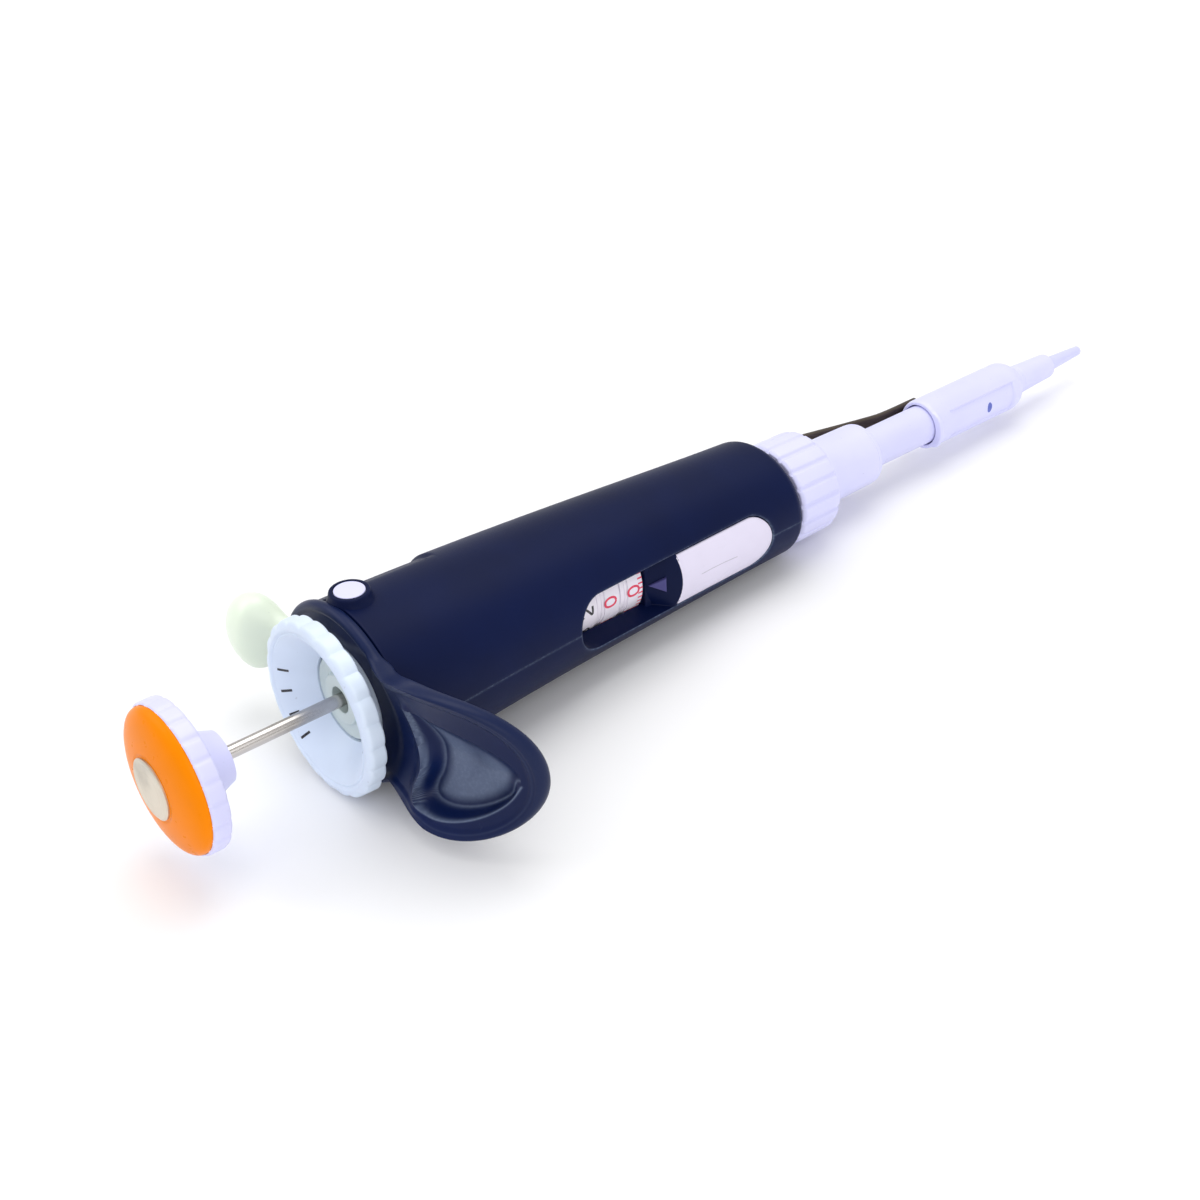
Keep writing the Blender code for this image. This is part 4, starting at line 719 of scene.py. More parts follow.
# Outlines and curves that no size changes
BOWL_CREST = (
    (9.2, 21.8), (4.2, 23.4), (0.5, 24.4), (-3.5, 23.9), (-7.4, 21.8), (-10.0, 21.6),
    (-11.8, 23.4), (-12.0, 27.3), (-10.8, 32.0), (-8.4, 36.4), (-4.8, 40.0), (-1.0, 41.8))
BOWL_BANK = (
    (-1.0, 41.8), (1.4, 41.8), (3.8, 40.3), (6.4, 37.0), (8.4, 32.2), (9.4, 27.0),
    (9.2, 21.8))
EDGE_POWER = 30
BLADE_END_POWER = 2.4
WALL_POWER = 1.4
BANK_POWER = 1.5
LIP_POWER = 2.5
SWEEP_POWER = 1.7
HOOK_COLUMNS = 380
HOOK_ROWS = 177
NOTCH_SIDES = (-7.1 * MM, -6.5 * MM)
BEAD_FROM = 0.3 * MM
CREST_WIDTH = 1.6 * MM
WELL_BANK = 3 * MM
RIB_FROM = 18 * MM
RIB_SIDES = (0.45, 0.9)
BACK_SWELL = 2.6 * MM
SWELL_RUN = 5 * MM
WHEEL_TO_HOOK = (0.1, 0.75)
BLADE_FROM = (13 * MM, 24 * MM)
COLLAR_FADE = (0.25 * MM, 3.0 * MM)
# Over which the painted reflection on the bowl's floor fades from the crest
PAINTED_SHEEN_FADE = (5 * MM, 13 * MM)
SUNK_FROM = (105, 117)
DISH_TICK_TURNS = (38, 58, 78, 98, 218, 238, 258, 278)
DISH_TICK_WIDTH = 0.5 * MM
RAMP_SINK = 0.3 * MM
STRIP_POWER = 0.35
SCALLOP_POWER = 12
VALLEY_POWER = 1.3
MEDALLION_RINGS = (0.62, 0.9)
LIP_FROM = math.sin(math.radians(35))
ANGULAR_DIGITS = "147"
DIGIT_PATHS = {
    "0": ((0.5, 0), (0.86, 0.1), (1, 0.5), (0.86, 0.9), (0.5, 1), (0.14, 0.9), (0, 0.5),
          (0.14, 0.1), (0.5, 0)),
    "1": ((0.2, 0.75), (0.55, 1), (0.55, 0)),
    "2": ((0.03, 0.78), (0.2, 0.97), (0.6, 1), (0.93, 0.82), (0.9, 0.58), (0.5, 0.3),
          (0, 0), (1, 0)),
    "3": ((0.03, 0.88), (0.45, 1), (0.9, 0.86), (0.86, 0.6), (0.4, 0.53), (0.88, 0.45),
          (0.98, 0.2), (0.6, 0), (0, 0.1)),
    "4": ((0.75, 0), (0.75, 1), (0, 0.28), (1, 0.28)),
    "5": ((0.9, 1), (0.14, 1), (0.08, 0.55), (0.6, 0.62), (0.98, 0.36), (0.8, 0.05),
          (0.3, 0), (0, 0.12)),
    "6": ((0.85, 0.96), (0.4, 0.9), (0.06, 0.5), (0.06, 0.2), (0.4, 0), (0.9, 0.1),
          (0.95, 0.42), (0.55, 0.58), (0.08, 0.4)),
    "7": ((0, 1), (1, 1), (0.4, 0)),
    "8": ((0.5, 0.53), (0.1, 0.7), (0.15, 0.93), (0.5, 1), (0.85, 0.93), (0.9, 0.7),
          (0.5, 0.53), (0.02, 0.34), (0.08, 0.06), (0.5, 0), (0.92, 0.06), (0.98, 0.34),
          (0.5, 0.53)),
    "9": ((0.15, 0.04), (0.6, 0.1), (0.94, 0.5), (0.94, 0.8), (0.6, 1), (0.1, 0.9),
          (0.05, 0.58), (0.45, 0.42), (0.92, 0.6)),
}


# Shapes
def unit(vectors):
    return vectors / np.maximum(np.linalg.norm(vectors, axis=-1, keepdims=True), TINY)


def stacked(*parts):
    """The parts, stretched to one shape and laid side by side along a new last axis."""
    return np.stack(np.broadcast_arrays(*parts), axis=-1)


def circle(columns):
    """Angles evenly round a circle."""
    return np.linspace(0, TAU, columns, endpoint=False)


def rounded(corners, steps=7):
    """Profile of (radius, height, trim) corners, each blended over its trim in millimetres.

    A corner c becomes c + a (1 - s)^2 + b s^2 for s from 0 to 1, where a and b reach
    back along its two sides by the trim.
    """
    corners = np.asarray(corners, float)
    points = corners[:, None, :2]
    trims = corners[:, None, 2:] * MM
    before = unit(np.roll(points, 1, axis=0) - points) * trims
    after = unit(np.roll(points, -1, axis=0) - points) * trims
    s = np.linspace(0, 1, steps)[None, :, None]
    return (points + before * (1 - s) ** 2 + after * s**2).reshape(-1, 2)


def spun(profile, columns, reach=None):
    """(r cos a, r sin a, h) over the profile's (r, h) and the angle a.

    reach(a, r, h) gives the radius where it changes round the axis.
    """
    angle = circle(columns)[None]
    radius = profile[:, :1]
    height = profile[:, 1:2]
    if reach:
        radius = reach(angle, radius, height)
    return stacked(radius * np.cos(angle), radius * np.sin(angle), height)


def refined(profile, spacing):
    """The profile with points added on its long sides, no further apart than the spacing."""
    steps = np.linalg.norm(np.diff(profile, axis=0), axis=1)
    along = np.concatenate(([0.0], np.cumsum(steps)))
    extra = np.arange(spacing, along[-1], spacing)
    stations = np.unique(np.concatenate((along, extra)))
    return np.stack([np.interp(stations, along, profile[:, k]) for k in (0, 1)], axis=-1)


def smoothed(points, times=3):
    """Corner cutting: each leg keeps the points at a quarter and three quarters of it."""
    points = np.asarray(points, float)
    for _ in range(times):
        quarter = points[:-1] * 0.75 + points[1:] * 0.25
        three = points[:-1] * 0.25 + points[1:] * 0.75
        cut = np.stack((quarter, three), axis=1).reshape(-1, 2)
        points = np.concatenate((points[:1], cut, points[-1:]))
    return points


def smooth_step(value, low, high):
    """3 s^2 - 2 s^3 of the share s of the way from low to high."""
    s = np.clip((value - low) / (high - low), 0, 1)
    return s * s * (3 - 2 * s)


def signed_power(value, power):
    return np.sign(value) * np.abs(value) ** power


def slab(outline, rows, middle=None):
    """(x, z, level) of an outline: row (share, level) sets middle + share (point - middle)."""
    if middle is None:
        middle = (outline.min(axis=0) + outline.max(axis=0)) / 2
    shares, levels = (np.array(column)[:, None, None] for column in zip(*rows))
    flat = middle + shares * (outline - middle)
    return stacked(flat[..., 0], flat[..., 1], levels[..., 0])


def oblong(half_width, start, end, columns):
    """Outline (x, z) with round ends: a circle pulled apart along z."""
    angle = circle(columns)
    middle = np.where(np.sin(angle) > 0, end - half_width, start + half_width)
    return stacked(half_width * np.cos(angle), middle + half_width * np.sin(angle))


def faces_of(rows, columns, wrap_rows, first):
    """Quads between neighbouring points of a grid whose rows are rings, as (n, 4)."""
    index = first + np.arange(rows * columns).reshape(rows, columns)
    if wrap_rows:
        index = np.vstack((index, index[:1]))
    index = np.hstack((index, index[:, :1]))
    corners = (index[:-1, :-1], index[:-1, 1:], index[1:, 1:], index[1:, :-1])
    return np.stack(corners, axis=-1).reshape(-1, 4)


def make_piece(name, grids, body, finish, replaces=(), wrap_rows=False, worn=None,
               sharp=34.0):
    """Turn grids of drawing points into one closed piece that rides on a body."""
    points = []
    faces = []
    first = 0
    for grid in grids:
        points.append(to_world(grid.reshape(-1, 3)))
        faces.append(faces_of(*grid.shape[:2], wrap_rows, first))
        first += len(points[-1])
    mesh = bpy.data.meshes.new(name)
    mesh.from_pydata(np.concatenate(points), [], np.concatenate(faces))
    if worn is not None:
        layer = mesh.attributes.new("worn", "FLOAT", "POINT")
        layer.data.foreach_set("value", np.asarray(worn, np.float32).ravel())
    close_mesh(mesh)
    mesh.shade_smooth()
    mesh.set_sharp_from_angle(angle=math.radians(sharp))
    mesh.materials.append(FINISHES[finish])
    piece = bpy.data.objects.new(name, mesh)
    bpy.context.scene.collection.objects.link(piece)
    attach(piece, body)
    if replaces:
        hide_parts(*replaces)


def close_mesh(mesh):
    """Weld seams and poles, cap open ends and point every face outwards."""
    bm = bmesh.new()
    bm.from_mesh(mesh)
    bmesh.ops.remove_doubles(bm, verts=bm.verts, dist=WELD)
    bmesh.ops.holes_fill(bm, edges=bm.edges, sides=0)
    bmesh.ops.recalc_face_normals(bm, faces=bm.faces)
    bm.to_mesh(mesh)
    bm.free()


def turn_piece(name, node, body, finish, profile, columns, spacing=0, reach=None,
               hollow=True):
    """Round piece in place of a node: its profile, refined to a spacing in millimetres.

    A hollow piece's profile closes on itself; a full one starts and ends on the axis.
    """
    if spacing:
        profile = refined(profile, spacing * MM)
    make_piece(name, [spun(profile, columns, reach)], body, finish, [node],
               wrap_rows=hollow)


# Handle
def oval_sizes(sizes, z):
    """Half depth, half width and shift: a fourth-degree curve through the stations."""
    stations = np.array(sizes.stations)
    z = np.clip(z, stations[0], stations[-1])
    return [np.polyval(np.polyfit(stations, np.array(values), 4), z)
            for values in (sizes.depths, sizes.widths, sizes.shifts)]


def oval(sizes, z, turn, inset=0.0):
    """x = (w - inset) sin t and y = -shift + (d - inset) cos t, with t = 0 at the hook."""
    depth, width, shift = oval_sizes(sizes, z)
    return (width - inset) * np.sin(turn), -shift + (depth - inset) * np.cos(turn)


def skin_height(sizes, x, z):
    """y of the skin over a place x on the hook side."""
    depth, width, shift = oval_sizes(sizes, z)
    return -shift + depth * np.sqrt(np.clip(1 - (x / width) ** 2, 0, 1))


def lip_drop(distance, radius):
    """Depth of a rounded lip at a distance from its edge: r - sqrt(r^2 - (r - d)^2)."""
    d = np.clip(distance, 0, radius)
    return radius - np.sqrt(radius**2 - (radius - d) ** 2)


def past_straight(sizes, z):
    """How far z lies past the window's straight sides, 0 between them."""
    half = sizes.window_half
    return z - np.clip(z, sizes.window_start + half, sizes.window_end - half)


def window_gap(sizes, x, z):
    """Distance from the window's outline, below 0 inside it."""
    return np.hypot(x, past_straight(sizes, z)) - sizes.window_half


def shell_stations(sizes):
    """Stations of the shell, dense where the window and the slot open and close."""
    quarter = np.linspace(0, math.pi / 2, 18)
    near = np.array((1.3, 0.9, 0.6, 0.4, 0.25, 0.12)) * MM
    half = sizes.window_half
    start, end = sizes.window_start, sizes.window_end
    slot_from = sizes.slot_end - sizes.slot_corner
    step, run = sizes.step_at, sizes.step_length
    stations = [
        np.linspace(sizes.top + 0.5 * MM, slot_from, 16),
        slot_from + sizes.slot_corner * np.sin(quarter) ** 0.5,
        sizes.slot_end + near,
        np.linspace(step, step + run, 6),
        np.linspace(step + 2 * run, start - 2 * MM, 14),
        start - near,
        start + half * (1 - np.cos(quarter)),
        np.linspace(start + half, end - half, 26),
        end - half * (1 - np.sin(quarter)),
        end + near,
        np.linspace(end + 2 * MM, sizes.stations[5] - sizes.end_rounding, 4),
    ]
    return np.unique(np.concatenate(stations).round(7))


def shell_rows(sizes):
    """Rows of (outer z, outer inset, inner z, inner inset, share of the bore)."""
    end = sizes.stations[5]
    wall = sizes.wall
    top = sizes.top
    rim = sizes.end_rounding
    rows = [(top, wall / 2, top, wall / 2, 0), (top, 0.3 * MM, top, wall, 0),
            (top + 0.09 * MM, 0.09 * MM, top, wall, 0), (top + 0.3 * MM, 0, top, wall, 0)]
    rows += [(z, 0, z, wall, 0) for z in shell_stations(sizes)]
    rows += [(end - rim * (1 - math.sin(a)), rim * (1 - math.cos(a)), end - wall, wall, 0)
             for a in np.linspace(0, math.pi / 2, 9)[1:]]
    rows += [(end, 0, end - wall, 0, 1), (end - wall / 2, 0, end - wall / 2, 0, 1)]
    return np.array(rows)


def shell_turns(sizes, z, width, near):
    """Turns of one row, from the outline of the window to that of the slot.

    Both outlines are set by their x, so a turn there is the arcsine of x over the width.
    """
    gap = sizes.parting_half_gap
    past = past_straight(sizes, z)
    window_x = np.sqrt(np.clip(sizes.window_half**2 - past**2, 0, None))
    closing = np.clip((z - sizes.slot_end + sizes.slot_corner) / sizes.slot_corner, 0, 1)
    slot_x = sizes.slot_half * (1 - closing**4) ** 0.25
    start = np.arcsin(np.clip(window_x, gap, None) / width)
    stop = math.pi - np.arcsin(np.clip(slot_x, gap, None) / width)
    share = np.linspace(0, 1, 48)[None, 1:-1]
    first = start + near / width
    last = stop - near[:, ::-1] / width
    between = first[:, -1:] * (1 - share) + last[:, :1] * share
    return np.concatenate((first, between, last), axis=1)


def shell_half(sizes, side):
    """Grid and pale edge lines of one half of the handle.

    Each row runs over the outer skin from the hook to the knob and back over the inner
    skin. It starts on the outline of the window and ends on that of the slot.
    """
    outer_z, outer_inset, inner_z, inner_inset, bore = shell_rows(sizes).T[..., None]
    near = np.array((0, 0.02, 0.06, 0.12, 0.2, 0.3, 0.42, 0.6, 0.9))[None] * MM
    sink = sizes.step_depth * (1 - smooth_step(
        outer_z, sizes.step_at, sizes.step_at + sizes.step_length))
    widths = [oval_sizes(sizes, z)[1] - inset
              for z, inset in ((outer_z, outer_inset), (inner_z, inner_inset))]
    turn = shell_turns(sizes, outer_z, widths[0] - sink, near)
    sunk = outer_inset + sink * smooth_step(turn, *np.radians(SUNK_FROM))
    x, y = oval(sizes, outer_z, turn, sunk)
    to_hook = np.cos(turn) > 0
    from_window = window_gap(sizes, x, outer_z)
    slot_start = sizes.slot_half * (outer_z < sizes.slot_end)
    from_slot = np.hypot(np.clip(x - slot_start, 0, None),
                         np.clip(outer_z - sizes.slot_end, 0, None))
    drop = lip_drop(np.where(to_hook, from_window, from_slot), sizes.window_lip)
    drop = np.maximum(drop, lip_drop(x - sizes.parting_half_gap, sizes.parting_lip))
    y -= np.where(to_hook, drop, -drop)
    outer = stacked(x, y, outer_z)
    inner_turn = shell_turns(sizes, inner_z, widths[1], near)
    inner = stacked(*oval(sizes, inner_z, inner_turn, inner_inset), inner_z)
    hole = sizes.bore * stacked(np.sin(turn), np.cos(turn))
    for skin in (outer, inner):
        skin[..., :2] += bore[..., None] * (hole - skin[..., :2])
    pale_marks = 0.6 * np.exp(-(outer[..., 0] - sizes.parting_half_gap) / (0.12 * MM)) * to_hook
    pale_marks += 0.95 * np.exp(-np.abs(from_window) / (0.15 * MM)) * to_hook
    grid = np.concatenate((outer, inner[:, ::-1]), axis=1)
    grid[..., 0] *= side
    return grid, np.concatenate((pale_marks, 0 * pale_marks), axis=1)


class PIPETTE_OT_handle(bpy.types.Operator):
    """Two moulded halves of the handle and the colour plug in its boss"""

    bl_idname = "pipette.handle"
    bl_label = "Handle"

    def execute(self, context):
        sizes = context.scene.pipette_handle
        for name, side in (("handle_shell_upper", 1), ("handle_shell_lower", -1)):
            grid, worn = shell_half(sizes, side)
            make_piece(name + "_skin", [grid], "handle", "navy_plastic", [name], worn=worn)
        add_plug(sizes)
        return {"FINISHED"}


def turned_up(sizes, profile, columns):
    """Surface turned about the plug's own axis, which points to the upper flank."""
    y, z, x = np.moveaxis(spun(profile, columns), -1, 0)
    return stacked(x, y - sizes.plug_shift, z + sizes.plug_at)


def add_plug(sizes):
    """White disc with a rounded edge, in a raised ring that runs out into the skin."""
    top = sizes.plug_top
    edge = sizes.plug_radius
    foot = top - 1.6 * MM
    disc = rounded([(0, top, 0), (edge, top, 0.25), (edge, foot, 0), (0, foot, 0)])
    make_piece("id_plug_disc", [turned_up(sizes, disc, 72)], "handle", "white_plastic",
               ["id_plug"])
    ring = edge + 0.12 * MM
    outer = ring + sizes.boss_wall
    foot = top - 3.2 * MM
    boss = rounded([
        (ring, top - 1.8 * MM, 0), (ring, top + 0.02 * MM, 0.2),
        (outer, top - 0.05 * MM, 0.35), (outer + 0.25 * MM, top - 1.3 * MM, 0.6),
        (outer + 1.1 * MM, foot, 0), (ring, foot, 0)])
    make_piece("plug_boss", [turned_up(sizes, boss, 96)], "handle", "navy_plastic",
               wrap_rows=True)


# Finger hook
def blade_half(sizes, reach):
    """Half width of the blade: a waist by the collar, a flare and a round end."""
    growth = smooth_step(reach, sizes.waist_at, sizes.flare_at)
    far = np.clip((reach - sizes.flare_at) / (sizes.reach - sizes.flare_at), 0, 1)
    end = (1 - far**BLADE_END_POWER) ** 0.5
    return (sizes.waist + (sizes.flare - sizes.waist) * growth) * end


def reach_over(turn, x, y):
    """Distance of the line of points (x, y) from the axis, over the turn from the hook."""
    return np.interp(np.abs(turn), np.arctan2(x, y), np.hypot(x, y))


def oval_reach(handle, turn, samples):
    """Distance of the handle's top outline from the axis, over the turn from the hook."""
    angle = np.linspace(0, math.pi, samples)
    return reach_over(turn, *oval(handle, 0 * angle, angle))


def hook_edge(sizes, handle, turn):
    """Distance of the outline from the axis, over the turn from the hook.

    It is the soft greater, (a^n + b^n)^(1/n), of the collar's oval a and the blade b, both
    in collar bores, less the slot for the slider.
    """
    collar = oval_reach(handle, turn, 721)
    reach = sizes.flare_at + (sizes.reach - sizes.flare_at) * np.cos(
        np.linspace(0, math.pi / 2, 60))
    reach = np.concatenate((reach, np.linspace(sizes.flare_at, 6 * MM, 40)[1:]))
    half = blade_half(sizes, reach)
    upper, lower = (reach_over(turn, half * side, reach)
                    for side in (sizes.upper_side, sizes.lower_side))
    blade = np.where(turn > 0, upper, lower)
    powers = sum((part / sizes.bore) ** EDGE_POWER for part in (collar, blade))
    edge = sizes.bore * powers ** (1 / EDGE_POWER)
    notch = sizes.slot_at / np.maximum(-np.cos(turn), 0.2)
    in_notch = smooth_step(-np.abs(edge * np.sin(turn)), *NOTCH_SIDES) * (np.cos(turn) < 0)
    return edge + in_notch * (np.minimum(notch, edge) - edge)


def line_distance(line, x, y):
    """Distance of each place from a line of points, measured to its nearest leg."""
    places = stacked(x, y).reshape(-1, 1, 2)
    start = line[:-1][None]
    run = line[1:][None] - start
    along = np.clip(((places - start) * run).sum(-1) / (run**2).sum(-1), 0, 1)
    nearest = np.linalg.norm(places - start - along[..., None] * run, axis=-1)
    return nearest.min(axis=1).reshape(x.shape)


def inside_line(line, x, y):
    """True inside a closed line: its legs are crossed an odd number of times along x."""
    px, py = x[..., None], y[..., None]
    x0, y0 = line[:-1].T
    x1, y1 = line[1:].T
    spans = (y0 > py) != (y1 > py)
    cut = x0 + (py - y0) * (x1 - x0) / np.where(y1 == y0, 1, y1 - y0)
    return (spans & (px < cut)).sum(axis=-1) % 2 == 1


def bowl_distances(x, y):
    """Distances to the bowl's sharp crest, its soft bank and the crest by the wheel, and
    whether a place is inside the bowl."""
    crest, bank = (smoothed(np.array(line) * MM, 4) for line in (BOWL_CREST, BOWL_BANK))
    inside = inside_line(np.concatenate((crest, bank[1:])), x, y)
    lines = (crest, bank, crest[:len(crest) // 2])
    return *(line_distance(line, x, y) for line in lines), inside


def hook_faces(sizes, x, y, inward, collar, bowl_places):
    """Top and underside of the hook over a place (x, y).

    top = plate + sweep - side lips - bead - crest + well + bowl. The sweep is a power of the
    reach, the lips a half wave of it, and the bowl is a steep wall times a slow bank. The
    underside follows a thickness on. inward is the distance from the outline, and collar is
    1 on the plate and 0 on the blade.
    """
    from_crest, from_bank, near_crest, inside = bowl_places
    wall = 1 - (1 - np.clip(from_crest / sizes.bowl_wall, 0, 1)) ** WALL_POWER
    slope = 1 - (1 - np.clip(from_bank / sizes.bowl_bank, 0, 1)) ** BANK_POWER
    bowl = sizes.bowl_depth * wall * slope * inside
    swept = np.clip((y - sizes.sweep_from) / (sizes.reach - sizes.sweep_from), 0, None)
    along = np.clip((y - sizes.lip_from) / (sizes.reach - sizes.lip_from), 0, 1)
    across = np.clip(np.abs(x) / np.maximum(blade_half(sizes, y), MM), 0, 1.1)
    lips = sizes.lip_rise * np.sin(math.pi * along) * across**LIP_POWER
    bead = sizes.bead * (1 - smooth_step(inward, BEAD_FROM, sizes.bead_width))
    ridge = sizes.crest_rise * np.exp(-((near_crest / CREST_WIDTH) ** 2)) * (1 - inside)
    to_hook = smooth_step(y / np.hypot(x, y), *WHEEL_TO_HOOK)
    well = sizes.well + (sizes.well_at_hook - sizes.well) * to_hook
    sunk = sizes.well_depth * (1 - smooth_step(np.hypot(x, y), well - WELL_BANK, well))
    rise = sizes.sweep * swept**SWEEP_POWER
    top = sizes.plate_top + rise - lips - bead - ridge + sunk + bowl
    rib = sizes.rib * np.clip(1 - (y - RIB_FROM) / sizes.rib_length, 0, 1) ** 2
    rib *= 1 - smooth_step(across, *RIB_SIDES)
    soft = smooth_step(np.minimum(from_crest, from_bank), 0, SWELL_RUN) * inside
    back = sizes.plate_top + rise - lips + sizes.thickness + rib + BACK_SWELL * soft
    under = (sizes.plate_top + sizes.plate_height) * collar + back * (1 - collar)
    return top, np.maximum(under, top + MM)


def hook_wear_and_sheen(sizes, inward, bowl_places):
    """Pale lines on the bowl's crest, the foot of its wall and the bead, and a painted
    reflection on the floor beside the wall.
    """
    from_crest, from_bank, _, inside = bowl_places
    on_crest = np.exp(-((from_crest / (0.17 * MM)) ** 2))
    foot = np.exp(-(((from_crest - sizes.bowl_wall) / (0.25 * MM)) ** 2)) * inside
    on_bead = np.exp(-(((inward - BEAD_FROM) / (0.2 * MM)) ** 2))
    # Painted reflection: the floor beside the wall is lightened as a glossy floor mirroring the
    # light would be, fading further from the crest and near the bank.
    floor = smooth_step(from_crest, sizes.bowl_wall, sizes.bowl_wall + 2.5 * MM) * inside
    floor *= 1 - 0.75 * smooth_step(from_crest, *PAINTED_SHEEN_FADE)
    floor *= smooth_step(from_bank, 0.5 * MM, 4 * MM)
    return 0.7 * on_crest + 0.4 * foot + 0.06 * on_bead + 0.62 * floor


def hook_grid(sizes, handle):
    """Polar grid of the hook: over its face, round its edge and back to the bore."""
    u = np.linspace(-math.pi, math.pi, HOOK_COLUMNS, endpoint=False)
    turn = (u - 0.6 * np.sin(u))[None]
    edge = hook_edge(sizes, handle, turn)
    on_blade = smooth_step(edge * np.cos(turn), *BLADE_FROM)
    radius = sizes.plate_edge + (sizes.edge - sizes.plate_edge) * on_blade
    far = edge - radius
    rho = sizes.bore + (far - sizes.bore) * (np.linspace(0, 1, HOOK_ROWS) ** 0.9)[:, None]
    x = rho * np.sin(turn)
    y = rho * np.cos(turn)
    collar = 1 - smooth_step(rho - oval_reach(handle, turn, 361), *COLLAR_FADE)
    round_turn = np.linspace(-math.pi, math.pi, 241)
    outline = hook_edge(sizes, handle, round_turn)
    outline = stacked(outline * np.sin(round_turn), outline * np.cos(round_turn))
    inward = np.clip(line_distance(outline, x, y) - radius, 0, None)
    bowl_places = bowl_distances(x, y)
    top, under = hook_faces(sizes, x, y, inward, collar, bowl_places)
    angle = np.linspace(0, math.pi, 13)[1:-1, None]
    rolled = far + radius * np.sin(angle)
    middle = (top[-1:] + under[-1:]) / 2
    half = (under[-1:] - top[-1:]) / 2
    back = slice(None, None, -4)
    grid = (np.concatenate((x, rolled * np.sin(turn), x[back])),
            np.concatenate((y, rolled * np.cos(turn), y[back])),
            np.concatenate((top, middle - half * np.cos(angle), under[back])))
    # Pale edge lines, and the painted reflection on the bowl's floor
    pale_marks = hook_wear_and_sheen(sizes, inward, bowl_places)
    return stacked(*grid), np.concatenate((pale_marks, 0.03 + 0 * rolled, 0 * under[back]))


class PIPETTE_OT_hook(bpy.types.Operator):
    """Collar plate with the dished finger rest"""

    bl_idname = "pipette.hook"
    bl_label = "Finger hook"

    def execute(self, context):
        grid, worn = hook_grid(context.scene.pipette_hook, context.scene.pipette_handle)
        make_piece("finger_hook_skin", [grid], "handle", "navy_gloss", ["finger_hook"],
                   wrap_rows=True, worn=worn, sharp=50.0)
        return {"FINISHED"}


# Button
def scalloped(sizes):
    """r - depth * s, where s = |cos(n a / 2)|^p cuts n narrow grooves round the rim."""
    def reach(angle, radius, height):
        groove = np.abs(np.cos(sizes.scallops * angle / 2)) ** SCALLOP_POWER
        on_rim = smooth_step(radius, sizes.cap_radius - 0.3 * MM, sizes.rim_radius)
        return radius - sizes.scallop_depth * groove * on_rim
    return reach


class PIPETTE_OT_button(bpy.types.Operator):
    """Domed orange cap in its scalloped white rim, with the neck, disc and rod"""

    bl_idname = "pipette.button"
    bl_label = "Button"

    def execute(self, context):
        sizes = context.scene.pipette_button
        add_cap(sizes)
        add_rim(sizes)
        add_medallion(sizes)
        start, end = ends_of("operating_rod")
        profile = rounded([(0, start, 0), (sizes.rod_radius, start, 0.2),
                           (sizes.rod_radius, end, 0.2), (0, end, 0)], 4)
        turn_piece("operating_rod_skin", "operating_rod", "plunger", "steel", profile, 64,
                   hollow=False)
        return {"FINISHED"}


def add_cap(sizes):
    """Dome h = face + dome (1 - (1 - (r / R)^2)^0.42), with a small dip round the disc."""
    turn = np.linspace(0, math.pi / 2, 90)
    radius = sizes.cap_radius * np.sin(turn)
    height = sizes.face + 0.15 * MM + sizes.cap_dome * (1 - np.cos(turn) ** 0.84)
    from_dip = radius - sizes.medallion_radius - 0.25 * MM
    height += 0.2 * MM * np.exp(-(from_dip / (0.2 * MM)) ** 2)
    back = sizes.face + sizes.cap_dome + 1.1 * MM
    profile = np.concatenate((stacked(radius, height), [(sizes.cap_radius, back), (0, back)]))
    make_piece("button_cap_dome", [spun(profile, 160)], "plunger", "orange_plastic",
               ["button_cap"], sharp=50.0)


def add_rim(sizes):
    """White rim with grooves, its back cone and the waisted neck down to the rod."""
    top = sizes.face + sizes.cap_dome + 0.1 * MM
    rim_back = top + sizes.rim_height
    neck_end = rim_back + sizes.neck_height
    inside = sizes.cap_radius + 0.06 * MM
    profile = rounded([
        (0, top + 1.2 * MM, 0), (inside, top + 1.2 * MM, 0.02),
        (inside, top - 0.05 * MM, 0.08), (sizes.rim_radius, top + 0.25 * MM, 0.35),
        (sizes.rim_radius, rim_back - 0.2 * MM, 0.5),
        (sizes.cap_radius - 1.6 * MM, rim_back + 0.35 * MM, 0.8),
        (sizes.neck_root, rim_back + 0.9 * MM, 1.6),
        (sizes.neck_radius, neck_end - 1.2 * MM, 1.2),
        (sizes.neck_radius - 0.4 * MM, neck_end, 0.4), (0, neck_end, 0)])
    turn_piece("button_rim_neck", "button_body", "plunger", "white_plastic", profile, 440,
               0.5, scalloped(sizes), hollow=False)


def add_medallion(sizes):
    """Plain brushed disc with a bevelled edge and two fine turned rings."""
    edge = sizes.medallion_radius
    radius = np.linspace(0, edge - 0.35 * MM, 46)
    height = sizes.face + 0 * radius
    for place in MEDALLION_RINGS:
        height += 0.05 * MM * np.exp(-((radius / radius[-1] - place) / 0.02) ** 2)
    back = sizes.face + sizes.medallion_height
    profile = np.concatenate((stacked(radius, height),
                              [(edge, sizes.face + 0.2 * MM), (edge, back), (0, back)]))
    make_piece("button_medallion_disc", [spun(profile, 128)], "plunger", "medallion_metal",
               ["button_medallion"], sharp=60.0)


# Thumbwheel
def lobed(sizes):
    """r - depth (1 - |cos(n a / 2)|)^p: n round lobes with narrow valleys between them."""
    def reach(angle, radius, height):
        valley = (1 - np.abs(np.cos(sizes.lobes * angle / 2))) ** VALLEY_POWER
        on_rim = smooth_step(radius, sizes.radius - 1.6 * MM, sizes.radius - 0.2 * MM)
        return radius - sizes.lobe_depth * valley * on_rim
    return reach


class PIPETTE_OT_wheel(bpy.types.Operator):
    """Thumbwheel with its lobed rim, deep dish and hub"""

    bl_idname = "pipette.wheel"
    bl_label = "Thumbwheel"

    def execute(self, context):
        sizes = context.scene.pipette_wheel
        add_cup(sizes)
        add_hub(sizes)
        return {"FINISHED"}


